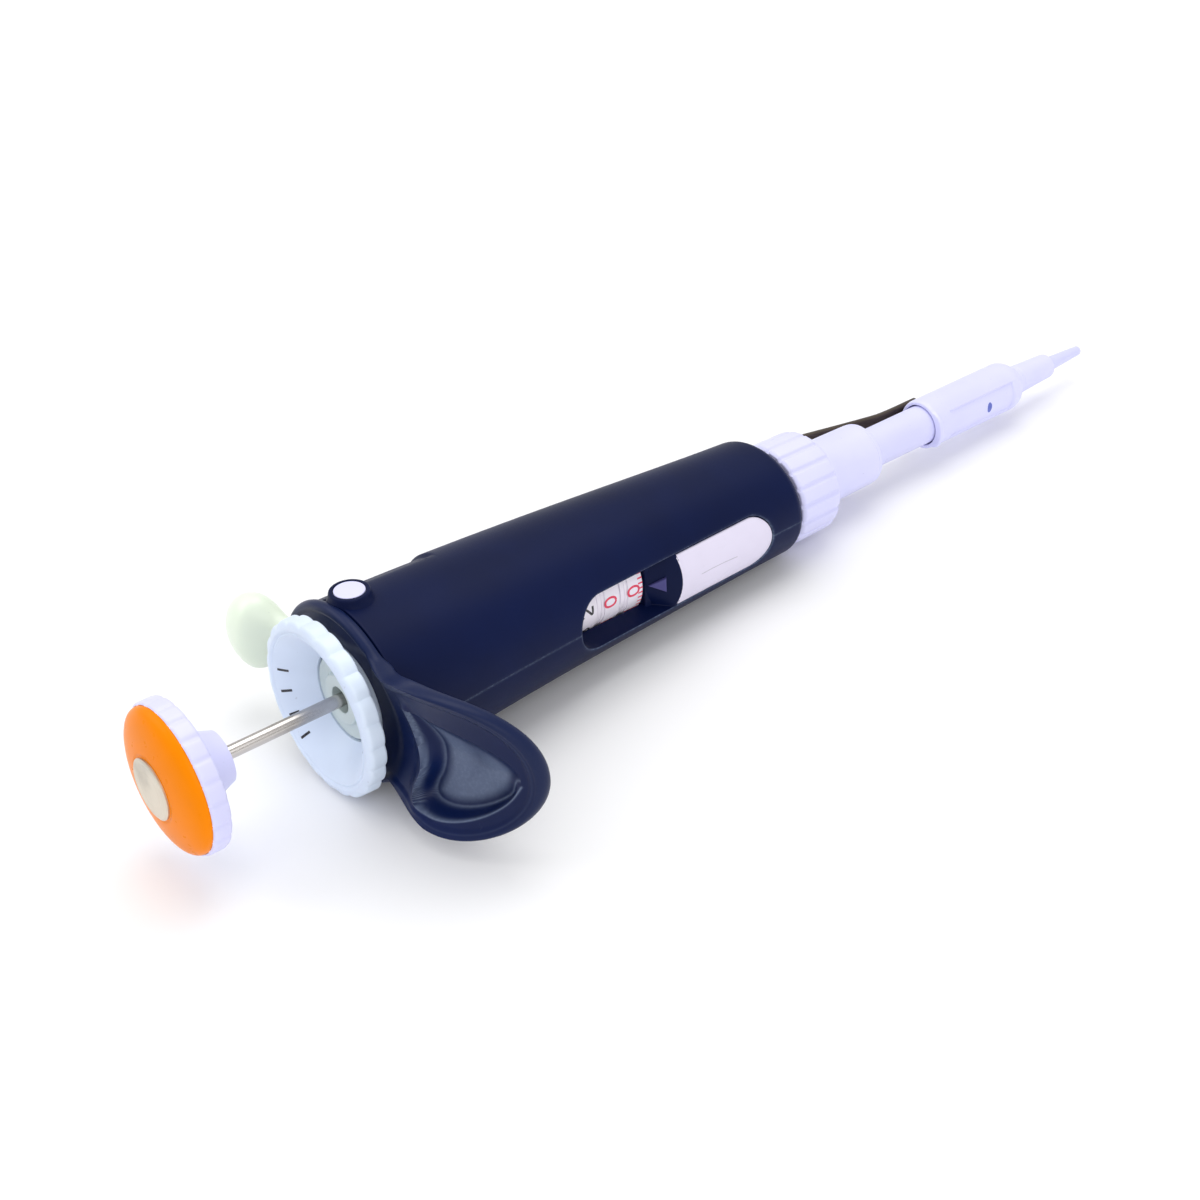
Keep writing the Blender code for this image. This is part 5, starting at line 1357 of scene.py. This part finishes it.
def add_cup(sizes):
    """Rim, dish wall falling as a hollow cone to the floor, and the boss behind."""
    radius, mouth, boss = sizes.radius, sizes.mouth, sizes.boss_radius
    front, back, end = sizes.front, sizes.back, sizes.boss_end
    hole = sizes.floor_radius - 0.05 * MM
    depth = sizes.floor_at - 0.2 * MM - front
    share = np.linspace(0.05, 1, 26)
    wall = stacked(mouth + (sizes.floor_radius - mouth) * share**0.85,
                   front + 0.1 * MM + depth * share**1.15)
    face = rounded([
        (mouth, front + 0.3 * MM, 0.2), (mouth + 0.4 * MM, front, 0.3),
        (radius - 0.1 * MM, front + 0.5 * MM, 0.8), (radius, back - 0.3 * MM, 0.4),
        (radius - 1 * MM, back, 0.4), (boss + 3.4 * MM, back, 0.6),
        (boss, back + 2 * MM, 0.4), (boss, end, 0.3), (hole, end, 0.1),
        (hole, wall[-1, 1], 0)])
    turn_piece("thumbwheel_rim", "thumbwheel_cup", "thumbwheel", "dish_plastic",
               np.concatenate((face, wall[::-1])), 528, 0.6, lobed(sizes))
    add_dish_ticks(wall)


def add_dish_ticks(wall):
    """Plain short marks on the dish wall, each a ribbon along the wall's own line."""
    share = np.linspace(0.1, 0.36, 8)[:, None]
    rows = np.linspace(0, 1, len(wall))
    radius, height = (np.interp(share, rows, wall[:, k]) - 0.03 * MM for k in (0, 1))
    grids = []
    for turn in np.radians(DISH_TICK_TURNS):
        across = np.array((-0.5, 0.5))[None] * DISH_TICK_WIDTH / radius + turn
        grid = stacked(radius * np.cos(across), radius * np.sin(across), height)
        back = grid + np.array((0, 0, 0.06 * MM))
        grids.append(np.concatenate((grid, back[:, ::-1]), axis=1))
    make_piece("dish_marks", grids, "thumbwheel", "black_ink")


def add_hub(sizes):
    """Floor with a raised ring round the rod's hole, and the stem behind it."""
    ring, floor, stem = sizes.ring_radius, sizes.floor_at, sizes.stem_radius
    hole = ring - 2.4 * MM
    face = floor - sizes.ring_height
    edge = sizes.floor_radius - 0.4 * MM
    profile = rounded([
        (hole, face, 0.25), (ring, face, 0.3), (ring + 0.25 * MM, floor, 0.25),
        (sizes.floor_radius - 0.6 * MM, floor, 0.2), (edge, floor + 0.5 * MM, 0.2),
        (edge, sizes.boss_end, 0.2), (stem, sizes.boss_end, 0.3),
        (stem, sizes.stem_end, 0.3), (hole, sizes.stem_end, 0.2)])
    # Painted shade: the hub's finish is a darker copy of the dish's plastic.
    turn_piece("thumbwheel_hub_ring", "thumbwheel_hub", "thumbwheel", "hub_shaded_plastic", profile,
               120)


# Window, counter and label
def ribbon(path, width, thickness, sink):
    """Flat stroke: the path (angle, height, radius) moved half a width to either side.

    The side step is the path's own direction turned a quarter round the drum.
    """
    turn, height, radius = np.asarray(path).T
    flat = stacked(turn * radius, height)
    along = unit(np.gradient(flat, axis=0))
    side = stacked(-along[:, 1], along[:, 0]) * width / 2
    edges = []
    for sign, lift in ((-1, thickness), (1, thickness), (1, -sink), (-1, -sink)):
        place = flat + sign * side
        angle = place[:, 0] / radius
        edges.append(stacked((radius + lift) * np.sin(angle), (radius + lift) * np.cos(angle),
                             place[:, 1]))
    return np.stack(edges, axis=1)


def digit_ribbons(sizes, digit, turn, middle):
    """The stroke of one number, its foot towards the label and its middle on the turn."""
    path = DIGIT_PATHS[digit]
    line = np.asarray(path if digit in ANGULAR_DIGITS else smoothed(path)) - 0.5
    fine = np.concatenate([np.linspace(a, b, 4)[:-1] for a, b in zip(line[:-1], line[1:])]
                          + [line[-1:]])
    path = stacked(turn + fine[:, 0] * sizes.digit_width / sizes.drum_radius,
                   middle - fine[:, 1] * sizes.digit_height, sizes.drum_radius)
    return ribbon(path, sizes.stroke, sizes.ink, sizes.ink)


class PIPETTE_OT_counter(bpy.types.Operator):
    """Number drums in their well, the pointer on the ramp and the label"""

    bl_idname = "pipette.counter"
    bl_label = "Counter and label"

    def execute(self, context):
        sizes = context.scene.pipette_counter
        handle = context.scene.pipette_handle
        for node, body, ink, shown in (("drum_units", "units_drum", "black_ink", 2),
                                       ("drum_tenths", "tenths_drum", "red_ink", 0),
                                       ("drum_hundredths", "hundredths_drum", "red_ink", 0)):
            add_drum(sizes, node, body, ink, shown)
        add_scale(sizes)
        add_well(sizes, handle)
        add_pointer(sizes, handle)
        add_label(sizes, handle)
        return {"FINISHED"}


def add_drum(sizes, node, body, ink, shown):
    """Drum with a raised printed band and a plain one, and ten numbers round it."""
    low, high = ends_of(node)
    bore = bore_of(node)
    edge = sizes.drum_radius
    plain = edge - sizes.drum_step
    ridge = plain + 0.12 * MM
    step = low + sizes.plain_width
    end = high - 0.15 * MM
    if node == "drum_units":
        profile = rounded([(bore, low, 0.05), (edge, low, 0.15), (edge, high, 0.15),
                           (bore, high, 0.05)])
    else:
        profile = rounded([
            (bore, low, 0.05), (plain, low, 0.15), (plain, step - 0.7 * MM, 0.05),
            (ridge, step - 0.7 * MM, 0), (ridge, step, 0.02), (edge, step, 0.1),
            (edge, end, 0.15), (plain, end, 0.05), (plain, high, 0.05), (bore, high, 0.05)],
            4)
    turn_piece(node + "_ring", node, body, "drum_plastic", profile, 160, 0.8)
    middle = (low + high) / 2 + 0.25 * MM
    make_piece(node + "_numbers", [
        digit_ribbons(sizes, str((shown + place) % 10), -place * TAU / 10, middle)
        for place in range(10)], body, ink)


def add_scale(sizes):
    """Short marks round the label's side of the last drum."""
    end = ends_of("drum_hundredths")[1] - 0.2 * MM
    height = np.linspace(end - sizes.tick_length, end, 3)
    make_piece("drum_scale", [
        ribbon(stacked(turn, height, sizes.drum_radius), sizes.tick_width, sizes.ink,
               sizes.ink)
        for turn in np.arange(sizes.ticks) * TAU / sizes.ticks], "hundredths_drum", "red_ink")


def add_well(sizes, handle):
    """Walls that fall from the window to the drums, and the ramp up to the label.

    Rings between the outline at the skin and the one at the drums are mixed by a share;
    the foot follows the drums as y = sqrt(r^2 - x^2).
    """
    half = handle.window_half - 0.04 * MM
    clear = sizes.drum_radius + sizes.well_gap
    top = end_outline(half, handle.window_start + 0.04 * MM, sizes.ramp_end, half, 0.3 * MM)
    top = bowed(top, half, sizes.ramp_end, sizes.ramp_bow)
    foot = end_outline(sizes.well_half, sizes.well_start, sizes.well_end, 1.2 * MM, 0.3 * MM)
    skin = skin_height(handle, top[:, 0], top[:, 1])
    drum = np.sqrt(clear**2 - foot[:, 0] ** 2)
    outwards = unit(top - top.mean(axis=0))
    rows = []
    for share, out in ((0, 0), (0.3, 0), (0.6, 0), (0.9, 0), (1, 0), (1, 1), (0.5, 1), (0, 1)):
        flat = top + (foot - top) * share + outwards * out * 0.5 * MM
        y = skin - RAMP_SINK + (drum - skin + RAMP_SINK) * share
        rows.append(stacked(flat[:, 0], y, flat[:, 1]))
    make_piece("window_well", [np.array(rows)], "handle", "navy_plastic", ["window_frame"],
               wrap_rows=True, sharp=25.0)
    bed = end_outline(half - 0.02 * MM, sizes.ramp_end, handle.window_end - 0.05 * MM,
                      0.3 * MM, half)
    bed = bowed(bed, half, sizes.ramp_end, sizes.ramp_bow)
    add_film("label_bed", bed, handle, sizes.label_sink + 0.35 * MM, sizes.label_thickness,
             "navy_plastic")


def bowed(outline, half, level, bow):
    """Outline whose edge at a level bows by b (1 - (x / half)^2) towards the tip."""
    x, z = outline.T
    at_level = np.exp(-(((z - level) / (1.2 * MM)) ** 2))
    return stacked(x, z + bow * (1 - (x / half) ** 2) * at_level)


def end_outline(half, start, end, start_corner, end_corner):
    """Box outline (x, z) whose two ends are rounded by corners of their own radius."""
    quarter = np.linspace(0, math.pi / 2, 22)
    pieces = []
    for corner, level, sign, side in ((end_corner, end, 1, 1), (end_corner, end, 1, -1),
                                      (start_corner, start, -1, -1),
                                      (start_corner, start, -1, 1)):
        turn = quarter if side * sign > 0 else quarter[::-1]
        pieces.append(stacked(side * (half - corner + corner * np.cos(turn)),
                              level - sign * (corner - corner * np.sin(turn))))
    share = np.linspace(0, 1, 12)[1:-1, None]
    joined = []
    for piece, following in zip(pieces, pieces[1:] + pieces[:1]):
        joined += [piece, piece[-1] + (following[0] - piece[-1]) * share]
    return np.concatenate(joined)


def add_film(name, outline, handle, sink, thickness, finish, replaces=()):
    """Thin slab that follows the handle's oval at a depth, with its edge eased."""
    rows = [(0.0, thickness), (1.0, thickness), (1.0, 0.1 * MM),
            *((share, 0.0) for share in np.linspace(0.985, 0, 10))]
    x, z, extra = np.moveaxis(slab(outline, rows), -1, 0)
    y = skin_height(handle, x, z) - sink - extra
    make_piece(name, [stacked(x, y, z)], "handle", finish, replaces, sharp=50.0)


def add_pointer(sizes, handle):
    """Raised triangle on the ramp, its point towards the scale."""
    foot = np.array((sizes.drum_radius + sizes.well_gap, sizes.well_end))
    crest = np.array((skin_height(handle, 0, sizes.ramp_end) - RAMP_SINK, sizes.ramp_end))
    slope = unit(crest - foot)
    normal = np.array((slope[1], -slope[0]))
    tip = 0.35 * MM
    base = tip + sizes.pointer_length
    outline = np.array([(0, tip), (sizes.pointer_half, base), (-sizes.pointer_half, base)])
    rows = ((0.0, -0.3), (1.0, -0.3), (1.0, 0.2), (0.88, 0.36), (0.0, 0.36))
    flat = slab(outline, rows, outline.mean(axis=0))
    place = foot + flat[..., 1:2] * slope + flat[..., 2:] * MM * normal
    grid = stacked(flat[..., 0], place[..., 0], place[..., 1])
    make_piece("scale_pointer", [grid], "handle", "pointer_plastic", sharp=20.0)


def add_label(sizes, handle):
    """Write-on film, straight by the drums and round by the nut, with a faint pencil line."""
    outline = end_outline(sizes.label_half, sizes.label_start, sizes.label_end,
                          sizes.label_corner, sizes.label_half)
    outline = bowed(outline, sizes.label_half, sizes.label_start, sizes.ramp_bow)
    add_film("label_film", outline, handle, sizes.label_sink, sizes.label_thickness, "label",
             ["label_strip"])
    height = np.linspace(sizes.label_start + 6 * MM, sizes.label_end - 10 * MM, 24)
    x = -0.6 * MM + 0.25 * MM * np.sin(height * 260)
    y = skin_height(handle, x, height) - sizes.label_sink
    path = stacked(np.arctan2(x, y), height, np.hypot(x, y))
    make_piece("label_pencil_line", [ribbon(path, 0.12 * MM, 0.015 * MM, 0.03 * MM)],
               "handle", "pencil")


# Ejector
class PIPETTE_OT_ejector(bpy.types.Operator):
    """Thumb knob with its neck and slider, the flat strip, the sleeve and its nose"""

    bl_idname = "pipette.ejector"
    bl_label = "Ejector"

    def execute(self, context):
        sizes = context.scene.pipette_ejector
        add_knob(sizes)
        add_strip(sizes)
        add_sleeve(sizes)
        add_nose(sizes)
        return {"FINISHED"}


def knob_sections(sizes):
    """Rows (y, middle z, half width, half height, power) from the knob's tip to the slider.

    The knob's half width is R sqrt(1 - s^2) at a share s of its radius. It is mixed by a
    smooth step into the neck's, which flares towards the slider.
    """
    u = np.linspace(0, 1, 90)
    tip = -sizes.knob_reach - sizes.knob_radius
    root = -sizes.slider_reach + 0.5 * sizes.slider_thickness
    y = tip + (root - tip) * (1 - np.cos(u * math.pi / 2))
    share = np.clip((y + sizes.knob_reach) / sizes.knob_radius, -1, 1)
    ball = np.sqrt(np.clip(1 - share**2, 0, 1))
    to_neck = smooth_step(y, -sizes.knob_reach + 0.5 * MM, -sizes.knob_reach + 7.5 * MM)
    to_slider = smooth_step(y, -sizes.slider_reach - 2.4 * MM, root)
    flare = to_slider**2
    neck_width = sizes.neck_half + (sizes.slider_half - 0.9 * MM - sizes.neck_half) * flare
    neck_height = 2.9 * MM + 4.6 * MM * flare
    width = sizes.knob_radius * ball * (1 - to_neck) + neck_width * to_neck
    height = sizes.knob_height / 2 * ball**0.9 * (1 - to_neck) + neck_height * to_neck
    middle = sizes.knob_at + 2.8 * MM * to_neck + 6.6 * MM * to_slider
    power = 1 - 0.16 * to_neck - 0.1 * to_slider
    return np.stack((y, middle, width, height, power))[..., None]


def add_knob(sizes):
    """Thumb knob, neck and slider of one moulding.

    Each section is a superellipse, x = w cos^p t and z = m + h sin^p t. The slider is a
    slab with a rolled edge that bends with the handle.
    """
    y, middle, width, height, power = knob_sections(sizes)
    angle = circle(112)[None]
    pad = stacked(width * signed_power(np.cos(angle), power), y,
                  middle + height * signed_power(np.sin(angle), power))
    make_piece("ejector_knob_pad", [pad], "ejector", "knob_plastic", ["ejector_knob"])
    outline = oblong(sizes.slider_half, sizes.slider_start, sizes.slider_end, 96)
    thick = sizes.slider_thickness
    rows = [(0, 0)] + [(1 - 0.1 * (1 - math.sin(a)), 0.5 * thick * (1 - math.cos(a)))
                       for a in np.linspace(0, math.pi, 9)] + [(0, thick)]
    x, z, level = np.moveaxis(slab(outline, rows), -1, 0)
    bend = x**2 / (2 * sizes.slider_reach)
    make_piece("ejector_slider", [stacked(x, -sizes.slider_reach + level + bend, z)],
               "ejector", "knob_plastic")


def add_strip(sizes):
    """Flat strip: a rounded oblong section carried along the strip's bent line."""
    line = strip_line(sizes)
    angle = circle(24)
    across = sizes.strip_half * signed_power(np.cos(angle), STRIP_POWER)
    deep = sizes.strip_thickness / 2 * signed_power(np.sin(angle), STRIP_POWER)
    along = unit(np.gradient(line, axis=0))
    y = line[:, :1] + along[:, 1:] * deep
    z = line[:, 1:] - along[:, :1] * deep
    make_piece("ejector_strip_flat", [stacked(across[None], y, z)], "ejector", "dark_steel",
               ["ejector_strip"])


def strip_line(sizes):
    """Middle line (y, z) of the strip: straight past the nut, then bent in to the sleeve."""
    low, high = extent_of("ejector_strip")
    bend, landing = sizes.strip_bend, sizes.strip_land
    far = low[1] + sizes.strip_thickness / 2
    land = -sizes.sleeve_radius - 0.3 * MM - sizes.strip_thickness / 2
    corners = np.array([
        (far, low[2]), (far, bend - 4 * MM), (far + 0.4 * MM, bend),
        (land - 0.5 * MM, landing - 3 * MM), (land, landing + MM), (land, high[2])])
    return refined(smoothed(corners), 1.5 * MM)


def add_sleeve(sizes):
    """Slim sleeve: r drops by the panel's depth on the hook side, with a thumb lip."""
    start, end = sizes.sleeve_start, sizes.sleeve_end
    radius, bore = sizes.sleeve_radius, sizes.sleeve_bore
    profile = rounded([
        (bore, start, 0.1), (radius - 0.3 * MM, start, 0.25), (radius, start + 0.8 * MM, 0.5),
        (radius, end - 2.6 * MM, 1.2), (sizes.nose_top + 0.5 * MM, end, 0.6),
        (bore - 1.2 * MM, end, 0), (bore, end - 2.2 * MM, 0.3)])
    turn_piece("ejector_sleeve_skin", "ejector_sleeve", "ejector", "white_plastic", profile,
               300, 0.25, panelled(sizes))
    add_dot(sizes)


def panelled(sizes):
    """Radius less the panel's depth inside its soft outline, plus the lip near the start."""
    def reach(angle, radius, height):
        x = radius * np.cos(angle)
        y = radius * np.sin(angle)
        past = height - sizes.sleeve_start
        on_skin = radius > sizes.sleeve_radius - 0.7 * MM
        inside = np.minimum(np.minimum(past - sizes.panel_start, sizes.panel_end - past),
                            sizes.panel_half - np.abs(x))
        sunk = smooth_step(inside, 0, 0.25 * MM) * (y > 0) * sizes.panel_depth
        lip_fade = smooth_step(np.sin(angle), LIP_FROM, 0.9)
        lip = sizes.lip * lip_fade * smooth_step(-past, -sizes.lip_length, -0.5 * MM)
        return radius + on_skin * (lip - sunk)
    return reach


def add_dot(sizes):
    """Small plain oval dot in the panel."""
    angle = circle(40)[None]
    share = np.array((0, 0.3, 0.55, 0.8, 1, 1, 0))[:, None]
    lift = np.array((0.03, 0.03, 0.03, 0.03, 0.03, -0.05, -0.3))[:, None] * MM
    x = sizes.dot_half * share * np.cos(angle)
    z = sizes.sleeve_start + sizes.dot_at + sizes.dot_height * share * np.sin(angle)
    y = np.sqrt((sizes.sleeve_radius - sizes.panel_depth) ** 2 - x**2) + lift
    make_piece("sleeve_dot", [stacked(x, y, z)], "ejector", "blue_ink", sharp=40.0)


def add_nose(sizes):
    """Tapering nose with a fine ring line near the sleeve."""
    start = ends_of("ejector_nose")[0]
    end, bore, top, low = sizes.nose_end, sizes.nose_bore, sizes.nose_top, sizes.nose_low
    line = start + 3.0 * MM
    profile = rounded([
        (bore, start, 0), (top, start, 0.2), (top, line - 0.2 * MM, 0.08),
        (top - 0.16 * MM, line, 0.08), (top - 0.05 * MM, line + 0.3 * MM, 0.08),
        (low, end - 0.4 * MM, 0.35), (low - 0.5 * MM, end, 0.15), (bore, end, 0.1)])
    turn_piece("ejector_nose_skin", "ejector_nose", "ejector", "white_plastic", profile, 96,
               1)


# Nut and tip
def fluted(sizes):
    """r - depth * g, with g a soft step round each of n narrow grooves."""
    def reach(angle, radius, height):
        pitch = TAU / sizes.flutes
        off = np.abs((angle + pitch / 2) % pitch - pitch / 2) * sizes.nut_radius
        groove = 1 - smooth_step(off, 0.15 * MM, sizes.flute_width)
        on_flutes = smooth_step(radius, sizes.nut_step + 0.3 * MM, sizes.nut_radius - 0.6 * MM)
        return radius - sizes.flute_depth * groove * on_flutes
    return reach


class PIPETTE_OT_tip(bpy.types.Operator):
    """Fluted coupling nut, the stepped tip holder and the nozzle"""

    bl_idname = "pipette.tip"
    bl_label = "Nut and tip holder"

    def execute(self, context):
        sizes = context.scene.pipette_tip
        add_nut(sizes)
        add_holder(sizes)
        add_tube(sizes)
        add_nozzle(sizes)
        return {"FINISHED"}


def add_nut(sizes):
    """Fluted nut with a thin step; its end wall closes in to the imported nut's bore."""
    start, end, last = sizes.nut_start, sizes.nut_end, ends_of("coupling_nut")[1]
    radius, step, wide = sizes.nut_radius, sizes.nut_step, sizes.nut_bore
    bore = bore_of("coupling_nut")
    profile = rounded([
        (wide, start, 0.2), (radius - 0.55 * MM, start, 0.2), (radius, start + 0.7 * MM, 0.35),
        (radius - 0.15 * MM, end - 0.8 * MM, 0.4), (radius - 0.8 * MM, end, 0.3),
        (step, end, 0.15), (step, last, 0.3), (bore, last, 0.2), (bore, last - 3.0 * MM, 0),
        (wide, last - 3.0 * MM, 0)])
    turn_piece("coupling_nut_flutes", "coupling_nut", "nut", "white_plastic", profile, 540,
               0.5, fluted(sizes))


def add_holder(sizes):
    """Flanged body, hollow round the spring, with a fine ring line near its end."""
    start, end, wide = ends_of("tip_holder_body")[0], sizes.holder_end, sizes.holder_bore
    bore = bore_of("tip_holder_body")
    low, line, wall = sizes.holder_low, end - 1.5 * MM, end - sizes.holder_wall
    profile = rounded([
        (wide, start, 0.1), (sizes.holder_flange, start, 0.2),
        (sizes.holder_flange, start + 1.6 * MM, 0.2), (sizes.holder_top, start + 1.8 * MM, 0.1),
        (low + 0.04 * MM, line, 0.1), (low - 0.12 * MM, line + 0.15 * MM, 0.08),
        (low, line + 0.3 * MM, 0.08), (low - 0.1 * MM, end, 0.9), (bore, end, 0.2),
        (bore, wall, 0.2), (wide, wall, 0.2)])
    turn_piece("tip_holder_body_skin", "tip_holder_body", "handle", "white_plastic", profile,
               144, 0.8)


def add_tube(sizes):
    start, end = ends_of("tip_holder_tube")[0], sizes.tube_end
    bore = bore_of("tip_holder_tube")
    profile = rounded([(bore, start, 0.1), (sizes.tube_radius, start, 0.3),
                       (sizes.tube_radius, end, 0.4), (bore, end, 0.1)])
    turn_piece("tip_holder_tube_skin", "tip_holder_tube", "handle", "white_plastic", profile,
               112, 1.5)


def add_nozzle(sizes):
    start, end, bore = ends_of("tip_nozzle")[0], sizes.nozzle_end, sizes.nozzle_bore
    profile = rounded([(bore, start, 0), (sizes.nozzle_top, start, 0.1),
                       (sizes.nozzle_wide, sizes.nozzle_wide_at, 2.0),
                       (sizes.nozzle_low, end, 0.42), (bore, end, 0.05)])
    turn_piece("tip_nozzle_skin", "tip_nozzle", "handle", "nozzle_plastic", profile, 64, 1.5)


class PIPETTE_PT_pieces(bpy.types.Panel):
    """Lists every piece of the micropipette"""

    bl_idname = "PIPETTE_PT_pieces"
    bl_label = "Micropipette"
    bl_space_type = "VIEW_3D"
    bl_region_type = "UI"
    bl_category = "Micropipette"

    def draw(self, context):
        for operator in OPERATORS:
            self.layout.operator(operator.bl_idname)


GROUPS = {
    "pipette_colours": PieceColours,
    "pipette_handle": HandleSizes, "pipette_hook": HookSizes, "pipette_button": ButtonSizes,
    "pipette_wheel": WheelSizes, "pipette_counter": CounterSizes,
    "pipette_ejector": EjectorSizes, "pipette_tip": TipSizes, "pipette_stage": PipetteStage}
OPERATORS = (
    PIPETTE_OT_finishes, PIPETTE_OT_inner_pieces, PIPETTE_OT_handle, PIPETTE_OT_hook,
    PIPETTE_OT_button, PIPETTE_OT_wheel, PIPETTE_OT_counter, PIPETTE_OT_ejector,
    PIPETTE_OT_tip, PIPETTE_OT_stage)


def register():
    for item in (*GROUPS.values(), *OPERATORS, PIPETTE_PT_pieces):
        bpy.utils.register_class(item)
    for name, group in GROUPS.items():
        setattr(bpy.types.Scene, name, bpy.props.PointerProperty(type=group))


def unregister():
    for name in GROUPS:
        delattr(bpy.types.Scene, name)
    for item in (PIPETTE_PT_pieces, *reversed(OPERATORS), *reversed(GROUPS.values())):
        bpy.utils.unregister_class(item)


def main():
    register()
    bpy.ops.pipette.finishes()
    bpy.ops.pipette.inner_pieces()
    bpy.ops.pipette.handle()
    bpy.ops.pipette.hook()
    bpy.ops.pipette.button()
    bpy.ops.pipette.wheel()
    bpy.ops.pipette.counter()
    bpy.ops.pipette.ejector()
    bpy.ops.pipette.tip()
    bpy.ops.pipette.stage()
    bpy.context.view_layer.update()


if __name__ == "__main__":
    main()
